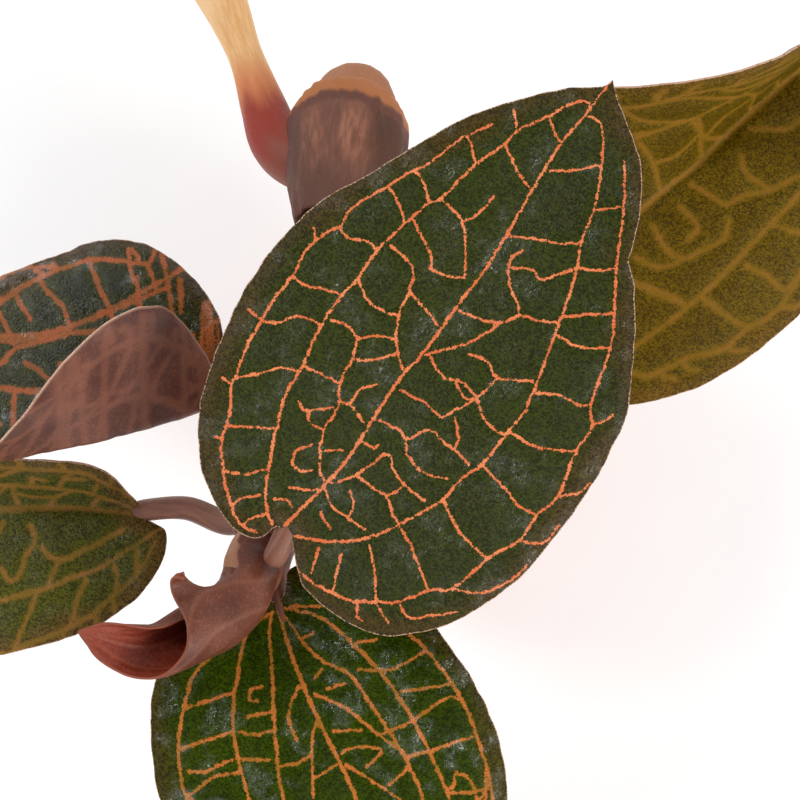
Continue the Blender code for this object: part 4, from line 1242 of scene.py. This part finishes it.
def leaf_upper(name, colours, gloss, soft, wet, shine):
    """A blade's upper side: dark cells, greener along the bright veins and browner at the rim."""
    flesh, green, brown, thread, glow = colours
    made, tree, shader = new_material(name)
    place = in_millimetres(tree)
    field, rim = attribute(tree, "vein"), attribute(tree, "rim")
    speckle = cells(tree, place, 0.15)
    cell_tone = cells(tree, place, 0.15, "Color")
    fine, broad = grain(tree, place, 0.45, 4), grain(tree, place, 7.0, 3)
    jitter = maths(tree, "MULTIPLY", maths(tree, "SUBTRACT", speckle, 0.45), 0.16)
    ragged = maths(tree, "ADD", field, jitter)
    ragged = maths(tree, "ADD", ragged, between(tree, fine, 0.3, 0.7, -0.05, 0.05))
    on_vein = between(tree, ragged, soft, -soft)
    broken = between(tree, fine, 0.2, 0.75, 0.35, 1.0)
    halo = maths(tree, "MULTIPLY", between(tree, field, 1.3, 0.05), broken)
    base = blend(tree, between(tree, broad, 0.45, 0.75), flesh, green)
    base = blend(tree, maths(tree, "MULTIPLY", halo, 0.85), base, green)
    browned = maths(tree, "ADD", rim, between(tree, broad, 0.3, 0.7, 0.9, -0.9))
    base = blend(tree, between(tree, browned, 2.6, 0.2, 0.0, 0.8), base, brown)
    toned = between(tree, node(tree, "ShaderNodeSeparateColor", {0: cell_tone}).outputs[0], 0, 1, 0.5, 1.5)
    shade_of_cell = node(tree, "ShaderNodeCombineColor", {0: toned, 1: toned, 2: toned}).outputs[0]
    base = blend(tree, 1.0, base, shade_of_cell, "MULTIPLY")
    dotted = between(tree, speckle, 0.2, 0.75, 0.0, 0.5)
    tinted = blend(tree, between(tree, grain(tree, place, 2.2), 0.35, 0.65), thread, glow)
    tinted = blend(tree, dotted, tinted, blend(tree, 0.5, tinted, green))
    colour = blend(tree, on_vein, base, tinted)
    colour = blend(tree, between(tree, maths(tree, "ADD", rim, jitter), 0.1, 0.03), colour, RIM_COLOUR)
    rise = maths(tree, "ADD", maths(tree, "MULTIPLY", speckle, -0.8), maths(tree, "MULTIPLY", fine, 0.9))
    normal = bump(tree, rise, 0.06, 0.9)
    normal = bump(tree, grain(tree, place, 1.6, 3, 0.5, 0.4), 0.16, 0.6, normal)
    film = between(tree, grain(tree, place, 2.6, 3), 0.5, 0.66, 0.0, wet)
    film_normal = bump(tree, grain(tree, place, 0.9, 3, 0.5, 0.6), 0.5, 1.0)
    rough = between(tree, grain(tree, place, 3.5, 3), 0.3, 0.7, gloss, gloss + 0.16)
    rough = maths(tree, "ADD", rough, maths(tree, "MULTIPLY", on_vein, 0.12))
    shade(tree, shader, Base_Color=colour, Roughness=rough, Normal=normal, Specular_IOR_Level=shine,
          Coat_Weight=film, Coat_Roughness=0.1, Coat_Normal=film_normal)
    return made


def leaf_under(name, colours):
    """A blade's underside: mauve-brown, granular, with its veins showing faintly."""
    flesh, dark, thread, edge = colours
    made, tree, shader = new_material(name)
    place = in_millimetres(tree)
    field, rim = attribute(tree, "vein"), attribute(tree, "rim")
    fine, broad = grain(tree, place, 0.3, 4, 0.65), grain(tree, place, 4.0, 3)
    speckle = cells(tree, place, 0.17)
    base = blend(tree, between(tree, broad, 0.3, 0.7), flesh, dark)
    base = blend(tree, between(tree, speckle, 0.25, 0.7, 0.0, 0.55), base, dark)
    base = blend(tree, between(tree, fine, 0.5, 0.8, 0.0, 0.5), base, thread)
    ragged = maths(tree, "ADD", field, between(tree, fine, 0.3, 0.7, -0.12, 0.12))
    near = between(tree, ragged, 0.25, -0.2, 0, 0.32)
    base = blend(tree, near, base, thread)
    base = blend(tree, between(tree, rim, 0.22, 0.04), base, edge)
    rise = maths(tree, "SUBTRACT", fine, maths(tree, "MULTIPLY", speckle, 0.5))
    normal = bump(tree, rise, 0.045, 0.8)
    rough = between(tree, fine, 0.3, 0.7, 0.36, 0.58)
    shade(tree, shader, Base_Color=base, Roughness=rough, Normal=normal, Specular_IOR_Level=0.25,
          Coat_Weight=0.06, Coat_Roughness=0.3)
    return made


def streaked(name, tones, rough, depth, along=(), shaded_flanks=()):
    """A skin with lengthwise streaks of three tones, tinted by its share, and darkened with painted shade on
    its flanks by its place along X.
    """
    made, tree, shader = new_material(name)
    place = in_millimetres(tree)
    run = stretched(tree, attribute(tree, "grain", "Vector"), (1.0, 1.0, 0.14))
    streaks = grain(tree, run, 0.55, 4, 0.6)
    wide = grain(tree, run, 2.2, 3, 0.5)
    fine = grain(tree, place, 0.25, 3, 0.6)
    colour = blend(tree, between(tree, streaks, 0.32, 0.66), tones[0], tones[1])
    colour = blend(tree, between(tree, wide, 0.42, 0.72, 0.0, 0.85), colour, tones[2])
    colour = blend(tree, between(tree, fine, 0.55, 0.8, 0.0, 0.35), colour, tones[1])
    across = node(tree, "ShaderNodeSeparateXYZ", {0: place}).outputs[0]
    # Painted shade on the flanks, darker past two places along X
    for low, high, tone in shaded_flanks:
        colour = blend(tree, between(tree, across, low, high, 0.0, 0.9), colour, tone)
    share = maths(tree, "ADD", attribute(tree, "share"), between(tree, wide, 0.2, 0.8, -0.025, 0.025))
    # Tints along the length, one of them painted shade at the old sheath's end by the main leaf
    for low, high, tone in along:
        colour = blend(tree, between(tree, share, low, high), colour, tone)
    rise = maths(tree, "ADD", streaks, maths(tree, "MULTIPLY", fine, 0.5))
    normal = bump(tree, rise, depth, 0.8)
    shade(tree, shader, Base_Color=colour, Roughness=between(tree, fine, 0.3, 0.7, rough, rough + 0.18),
          Normal=normal, Specular_IOR_Level=0.3)
    return made


def main():
    dice = random.Random(SEED)
    under = leaf_under("leaf_underside", UNDERSIDE)
    uppers = {name: leaf_upper(name + "_face", *LEAF_LOOKS[name]) for name in LEAVES}
    edge = main_loop()
    stalk = streaked("stalk_skin", STALK_TONES, 0.4, 0.05)
    for number, (name, form) in enumerate(LEAVES.items()):
        if name == "leaf_main":
            veins = main_veins(dice)
        elif name == "leaf_front":
            veins = front_veins(dice)
        else:
            veins = partly_seen_veins(name, dice)
        loop = edge if name == "leaf_main" else leaf_loop(form)
        surfaces = [uppers[name], under]
        piece = blade_piece(name + "_blade", form, half_turn, loop, veins, surfaces, UNDER_CELL, number)
        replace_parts(piece, name)
        make_stalk(name, form, stalk, 60 + number)
    make_furled(dice)
    make_stem(streaked("stem_skin", STEM_TONES, 0.42, 0.06, STEM_TINTS))
    # The old sheath's skin carries painted shade on its flanks and at its end by the main leaf
    make_old_sheath(streaked(
        "old_sheath_skin", OLD_SHEATH_TONES, 0.62, 0.09, OLD_SHEATH_TINTS_AND_SHADE, OLD_SHEATH_FLANK_SHADE))
    make_aerial_root(streaked("aerial_root_skin", ROOT_TONES, 0.4, 0.04, ROOT_TINTS))
    make_pot()
    make_mix()
    make_camera()
    make_studio()


def make_furled(dice):
    form = FURLED
    length = midrib_length(form)
    outer = leaf_under("young_leaf_outside", YOUNG_OUTSIDE)
    inner = leaf_under("young_leaf_inside", YOUNG_INSIDE)
    lines = []
    # Three long veins on each side, spread over the half's greatest width
    for side, widest in ((1, 0.33), (-1, 0.6)):
        for share in (0.3, 0.6, 0.86):
            lines.append([(0.0, 0.02 * side), (0.2, 0.6 * share * widest * side),
                          (0.5, share * widest * side), (0.8, 0.4 * share * widest * side), (0.985, 0.0)])
    nerves = [np.array(line) * length for line in [[(0.0, 0.0), (0.5, 0.0), (0.98, 0.0)], *lines]]
    veins = all_veins(nerves, [], dice, 0.8)
    loop = leaf_loop(form, 0.2)
    surfaces = [inner, outer]
    piece = blade_piece(
        "leaf_furled_blade", form, furled_turn, loop, veins, surfaces, FURLED_UNDER_CELL, 9)
    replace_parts(piece, "leaf_furled")
    along = np.linspace(*FURLED_CORE, len(FURLED_CORE_RADII))
    place, _, _, up = midrib_frames(form, along)
    rows = dense_curve(np.column_stack([place + up * FURLED_RADIUS * FURLED_CORE_HEIGHT, FURLED_CORE_RADII]))
    rows = resample(rows, 0.3, 3)
    surface = streaked("young_leaf_core", YOUNG_CORE_TONES, 0.4, 0.05)
    tube_piece("leaf_furled_core", rounded_ends(rows), 40, surface, ridges(0.08, 0.9, 77))


# Pot and mix


def turned(profile, sides):
    """Points and faces of a profile of (radius, height) turned round Z, from the axis and back to it."""
    rings = profile[1:-1]
    turns = np.arange(sides) * 2 * math.pi / sides
    points = [np.column_stack([r * np.cos(turns), r * np.sin(turns), np.full(sides, z)]) for r, z in rings]
    faces = quads(len(rings), sides)
    start = len(rings) * sides
    last = start - sides
    points.append([(0.0, 0.0, profile[0][1]), (0.0, 0.0, profile[-1][1])])
    for k in range(sides):
        follow = (k + 1) % sides
        faces.append((start, follow, k))
        faces.append((start + 1, last + k, last + follow))
    return np.vstack(points), faces


def pot_inner_radius(height):
    """The radius of the pot's inside at a height above its floor."""
    share = (height - POT_FLOOR) / (POT_HEIGHT - POT_FLOOR)
    bottom = POT_BASE_RADIUS - POT_WALL
    return bottom + share * (POT_RIM_RADIUS - POT_WALL - bottom)


def pot_profile():
    """From the middle of the base out, up the side, over the rim and down the inside to the floor."""
    shoulder = POT_HEIGHT - COLLAR_HEIGHT
    body_top = POT_RIM_RADIUS - COLLAR_STEP - 0.6
    inner_bottom, inner_top = pot_inner_radius(POT_FLOOR), pot_inner_radius(POT_HEIGHT)
    return [
        (0.0, 0.0), (POT_BASE_RADIUS - 1.0, 0.0), (POT_BASE_RADIUS - 0.35, 0.15), (POT_BASE_RADIUS, 0.7),
        (body_top, shoulder - 0.2), (body_top + 0.15, shoulder), (POT_RIM_RADIUS - 0.9, shoulder + 0.2),
        (POT_RIM_RADIUS - 0.6, shoulder + 0.7), (POT_RIM_RADIUS, POT_HEIGHT - 1.2),
        (POT_RIM_RADIUS - 0.2, POT_HEIGHT - 0.5), (POT_RIM_RADIUS - 0.7, POT_HEIGHT - 0.1),
        (POT_RIM_RADIUS - 1.2, POT_HEIGHT), (inner_top + 0.7, POT_HEIGHT),
        (inner_top + 0.2, POT_HEIGHT - 0.3), (inner_top, POT_HEIGHT - 1.0),
        (inner_bottom + 0.5, POT_FLOOR + 1.0), (inner_bottom - 0.8, POT_FLOOR), (0.0, POT_FLOOR),
    ]


def fine_profile(profile, step):
    """The profile with further points between its own, none further apart than step."""
    out = [profile[0]]
    for a, b in zip(profile, profile[1:]):
        count = max(1, math.ceil(math.dist(a, b) / step))
        out += [(a[0] + (b[0] - a[0]) * k / count, a[1] + (b[1] - a[1]) * k / count)
                for k in range(1, count + 1)]
    return out


def drilled(piece, cutters):
    """The piece's own mesh with the cutters' holes in it."""
    for cutter in cutters:
        modifier = piece.modifiers.new("drain", "BOOLEAN")
        modifier.operation = "DIFFERENCE"
        modifier.object = cutter
        modifier.solver = "EXACT"
    graph = bpy.context.evaluated_depsgraph_get()
    mesh = bpy.data.meshes.new_from_object(piece.evaluated_get(graph))
    piece.modifiers.clear()
    piece.data = mesh
    for cutter in cutters:
        bpy.data.objects.remove(cutter, do_unlink=True)


def make_pot():
    points, faces = turned(fine_profile(pot_profile(), 1.3), 144)
    away = points * (1.0, 1.0, 0.0)
    away = away / np.maximum(np.linalg.norm(away, axis=1, keepdims=True), 1.0)
    uneven_wall = 0.07 * ripple(points, 6.0, 51) + 0.03 * ripple(points, 1.4, 52)
    points = points + away * (uneven_wall * smooth_step(points[:, 2], 0.0, 2.0))[:, None]
    pot = make_piece("pot_clay_body", points, faces, [clay()])
    drains = []
    for k in range(DRAINS):
        turn = math.pi / DRAINS + 2 * math.pi * k / DRAINS
        place = (DRAIN_CIRCLE * math.cos(turn), DRAIN_CIRCLE * math.sin(turn))
        rows = np.array([(*place, -2.0, DRAIN_RADIUS), (*place, POT_FLOOR + 2.0, DRAIN_RADIUS)])
        corners, sides, _, _ = tube(rows, 28)
        mesh = bpy.data.meshes.new(f"drain_{k}")
        mesh.from_pydata((corners * MM).tolist(), [], sides)
        drain = bpy.data.objects.new(f"drain_{k}", mesh)
        bpy.context.scene.collection.objects.link(drain)
        drains.append(drain)
    drilled(pot, drains)
    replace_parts(pot, "pot")


def in_order(points, faces):
    """Points and faces sorted by where they lie, because a hull gives its own in any order."""
    order = sorted(range(len(points)), key=lambda k: points[k])
    rank = {old: new for new, old in enumerate(order)}
    ranked = []
    for face in faces:
        corners = [rank[k] for k in face]
        first = corners.index(min(corners))
        ranked.append((*corners[first:], *corners[:first]))
    return [points[k] for k in order], sorted(ranked)


def chunk(dice, place, sizes, turn, corners=15):
    """A broken lump: the hull of seeded corners in a box, turned every way and set in its place."""
    shape = bmesh.new()
    for _ in range(corners):
        spot = Vector([dice.uniform(-1, 1) for _ in range(3)])
        spot = spot / max(1.0, spot.length)
        shape.verts.new([c * s for c, s in zip(spot, sizes)])
    hull = bmesh.ops.convex_hull(shape, input=shape.verts)
    loose = [v for v in hull["geom_interior"] if isinstance(v, bmesh.types.BMVert)]
    bmesh.ops.delete(shape, geom=loose, context="VERTS")
    bmesh.ops.bevel(shape, geom=list(shape.edges), offset=0.12 * min(sizes), segments=1, affect="EDGES")
    bmesh.ops.triangulate(shape, faces=shape.faces)
    shape.verts.index_update()
    spin = turn.to_matrix()
    points = [tuple(spin @ v.co + Vector(place)) for v in shape.verts]
    faces = [tuple(v.index for v in face.verts) for face in shape.faces]
    shape.free()
    return in_order(points, faces)


def gathered(lumps):
    """Many small pieces as one set of points and faces, with a seeded tone for each."""
    dice = random.Random(SEED)
    points, faces, tones = [], [], []
    for corners, sides in lumps:
        count = len(points)
        points += corners
        faces += [tuple(corner + count for corner in side) for side in sides]
        tones += [dice.random()] * len(corners)
    return np.array(points), faces, {"tone": np.array(tones)}


def stem_at(height):
    """The stem's middle at a height."""
    rows = stem_rows()
    return np.array([np.interp(height, rows[:, 2], rows[:, k]) for k in (0, 1)])


def scattered(dice, count, apart, reach):
    """Seeded places over the mix, at least apart from each other and clear of the stem."""
    stem = stem_at(MIX_TOP)
    places = []
    for _ in range(count * 40):
        turn, out = dice.uniform(0, 2 * math.pi), math.sqrt(dice.random()) * reach
        spot = np.array([out * math.cos(turn), out * math.sin(turn)])
        if np.linalg.norm(spot - stem) < CLEAR_OF_STEM:
            continue
        if all(np.linalg.norm(spot - other) > apart for other in places):
            places.append(spot)
        if len(places) == count:
            break
    return places


def mound(x, y):
    share = math.hypot(x, y) / pot_inner_radius(MIX_TOP)
    return MIX_TOP + MIX_MOUND * max(0.0, 1 - share * share)


def make_mix():
    """A ground of fine crumbs with bark chips and perlite lying on it."""
    dice = random.Random(SEED)
    bottom = POT_FLOOR + CLEARANCE
    rim = pot_inner_radius(MIX_TOP) - CLEARANCE
    profile = [(0.0, bottom), (pot_inner_radius(bottom) - 1.4, bottom), (rim, MIX_TOP - 1.0)]
    profile += [(rim * (1 - ring / 60), MIX_TOP) for ring in range(60)] + [(0.0, MIX_TOP)]
    points, faces = turned(profile, 120)
    top = points[:, 2] == MIX_TOP
    points[top, 2] = [mound(x, y) for x, y in points[top, :2]]
    points[top, 2] += 0.35 * ripple(points[top], 1.1, 61) + 0.4 * ripple(points[top], 3.0, 62) - 0.9
    ground = make_piece("mix_ground", points, faces, [crumbs()])
    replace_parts(ground, "potting_mix")
    chips = []
    for x, y in scattered(dice, CHIPS, CHIPS_APART, rim - 1.7):
        size = dice.uniform(1.1, 2.3)
        lean = Vector((dice.uniform(-0.35, 0.35), dice.uniform(-0.35, 0.35), 1)).to_track_quat("Z", "Y")
        spin = Vector((math.cos(dice.uniform(0, 6.28)), math.sin(dice.uniform(0, 6.28)), 0))
        lift = mound(x, y) - 0.5 + dice.uniform(-0.3, 0.5)
        sizes = (size, size * dice.uniform(0.45, 0.8), size * dice.uniform(0.25, 0.45))
        chips.append(chunk(dice, (x, y, lift), sizes, lean @ spin.to_track_quat("X", "Z")))
    points, faces, tones = gathered(chips)
    make_piece("bark_chips", points, faces, [bark()], None, tones, False)
    grains = []
    for x, y in scattered(dice, PERLITE_GRAINS, PERLITE_APART, rim - 1.2):
        size = dice.uniform(0.5, 0.95)
        lean = Vector((dice.uniform(-1, 1), dice.uniform(-1, 1), 1)).to_track_quat("Z", "Y")
        sizes = (size, size * 0.85, size * 0.8)
        grains.append(chunk(dice, (x, y, mound(x, y) + 0.45), sizes, lean, 22))
    points, faces, tones = gathered(grains)
    make_piece("perlite_grains", points, faces, [perlite()], None, tones, False)


def clay():
    """Fired clay: sandy, blotched, with a pale bloom of lime towards the foot and on the collar's rim."""
    made, tree, shader = new_material("fired_clay")
    place = in_millimetres(tree)
    broad, fine = grain(tree, place, 9.0, 5, 0.6), grain(tree, place, 0.5, 5, 0.65)
    sand = cells(tree, place, 0.5)
    colour = blend(tree, between(tree, broad, 0.3, 0.7), (186, 102, 66), (162, 82, 52))
    colour = blend(tree, between(tree, fine, 0.45, 0.75, 0.0, 0.5), colour, (206, 132, 96))
    height = node(tree, "ShaderNodeSeparateXYZ", {0: place}).outputs[2]
    patch = grain(tree, place, 5.0, 5, 0.7)
    low = maths(tree, "MULTIPLY", between(tree, height, LIME_TOP, 0.0), between(tree, patch, 0.42, 0.62))
    colour = blend(tree, maths(tree, "MULTIPLY", low, 0.75), colour, (226, 204, 188))
    edge = maths(
        tree, "MULTIPLY", between(tree, height, *LIME_ON_COLLAR), between(tree, patch, 0.5, 0.62))
    colour = blend(tree, maths(tree, "MULTIPLY", edge, 0.6), colour, (214, 186, 166))
    colour = blend(tree, between(tree, sand, 0.12, 0.02, 0.0, 0.35), colour, (120, 62, 40))
    rise = maths(tree, "ADD", fine, maths(tree, "MULTIPLY", sand, 0.4))
    shade(tree, shader, Base_Color=colour, Roughness=between(tree, fine, 0.3, 0.7, 0.78, 0.94),
          Normal=bump(tree, rise, 0.09, 0.7))
    return made


def crumbs():
    """Dark, damp crumbs of bark and peat."""
    made, tree, shader = new_material("mix_crumbs")
    place = in_millimetres(tree)
    bits = cells(tree, place, 0.8, "Color")
    tone = node(tree, "ShaderNodeSeparateColor", {0: bits}).outputs[0]
    fine = grain(tree, place, 0.35, 5, 0.7)
    colour = blend(tree, tone, (46, 32, 22), (84, 60, 42))
    colour = blend(tree, between(tree, fine, 0.45, 0.75, 0.0, 0.7), colour, (28, 19, 13))
    rise = maths(tree, "ADD", maths(tree, "MULTIPLY", cells(tree, place, 0.8), -0.8), fine)
    shade(tree, shader, Base_Color=colour, Roughness=between(tree, fine, 0.3, 0.7, 0.6, 0.9),
          Normal=bump(tree, rise, 0.35, 1.0))
    return made


def bark():
    """Chips of pine bark: layered, cracked, each of its own brown."""
    made, tree, shader = new_material("pine_bark")
    place = in_millimetres(tree)
    tone = attribute(tree, "tone")
    layers = grain(tree, stretched(tree, place, (1.0, 1.0, 3.2)), 1.1, 5, 0.65)
    fine = grain(tree, place, 0.3, 4, 0.7)
    colour = blend(tree, tone, (70, 42, 28), (142, 92, 62))
    colour = blend(tree, between(tree, layers, 0.4, 0.65), colour, (52, 32, 22))
    colour = blend(tree, between(tree, fine, 0.55, 0.8, 0.0, 0.5), colour, (176, 132, 100))
    shade(tree, shader, Base_Color=colour, Roughness=between(tree, fine, 0.3, 0.7, 0.65, 0.9),
          Normal=bump(tree, maths(tree, "ADD", layers, fine), 0.18, 0.9))
    return made


def perlite():
    made, tree, shader = new_material("perlite")
    place = in_millimetres(tree)
    fine = grain(tree, place, 0.25, 4, 0.6)
    colour = blend(tree, between(tree, fine, 0.35, 0.7), (236, 232, 224), (198, 190, 178))
    shade(tree, shader, Base_Color=colour, Roughness=between(tree, fine, 0.3, 0.7, 0.7, 0.9),
          Normal=bump(tree, fine, 0.12, 0.8))
    return made


def make_camera():
    data = bpy.data.cameras.new("camera")
    data.sensor_width = SENSOR
    data.lens = SENSOR * PHOTO_SCALE * VIEW_DISTANCE / PHOTO_SIZE
    data.clip_start = 0.005
    made = bpy.data.objects.new("camera", data)
    bpy.context.scene.collection.objects.link(made)
    back = Vector((0.0, -math.cos(VIEW_ELEVATION), math.sin(VIEW_ELEVATION)))
    made.location = (Vector(VIEW_CENTRE) + back * VIEW_DISTANCE) * MM
    made.rotation_euler = (math.pi / 2 - VIEW_ELEVATION, 0.0, 0.0)
    bpy.context.scene.camera = made


def area_light(name, place, towards, size, power, colour):
    data = bpy.data.lights.new(name, "AREA")
    data.shape = "DISK"
    data.size = size
    data.energy = power
    data.color = colour
    made = bpy.data.objects.new(name, data)
    bpy.context.scene.collection.objects.link(made)
    made.location = place
    made.rotation_euler = (Vector(towards) - Vector(place)).to_track_quat("-Z", "Y").to_euler()


def make_studio():
    """A pale floor under a sky that is bright all round and dim overhead, where the camera stands."""
    world = bpy.data.worlds.new("studio")
    bpy.context.scene.world = world
    world.use_nodes = True
    tree = world.node_tree
    heading = node(tree, "ShaderNodeTexCoord").outputs["Generated"]
    height = node(tree, "ShaderNodeSeparateXYZ", {0: heading}).outputs[2]
    light = between(tree, height, *SKY_FADE, SKY_SIDE, SKY_TOP)
    tree.links.new(light, tree.nodes["Background"].inputs["Strength"])
    tree.nodes["Background"].inputs["Color"].default_value = (1.0, 1.0, 1.0, 1.0)
    for name, settings in LIGHTS.items():
        area_light(name, *settings)
    made, tree, shader = new_material("floor_paper")
    place = in_millimetres(tree)
    clouds, fine = grain(tree, place, 40.0, 2), grain(tree, place, 1.0, 2)
    tone = blend(tree, between(tree, clouds, 0.3, 0.7), (250, 250, 249), (247, 247, 247))
    shade(tree, shader, Base_Color=tone, Roughness=between(tree, fine, 0.3, 0.7, 0.85, 0.95))
    half = FLOOR_SIDE / 2 * MM
    corners = [(-half, -half, 0), (half, -half, 0), (half, half, 0), (-half, half, 0)]
    mesh = bpy.data.meshes.new("floor")
    mesh.from_pydata(corners, [], [(0, 1, 2, 3)])
    mesh.materials.append(made)
    floor = bpy.data.objects.new("floor", mesh)
    bpy.context.scene.collection.objects.link(floor)
    bpy.context.scene.view_settings.view_transform = "Standard"


main()
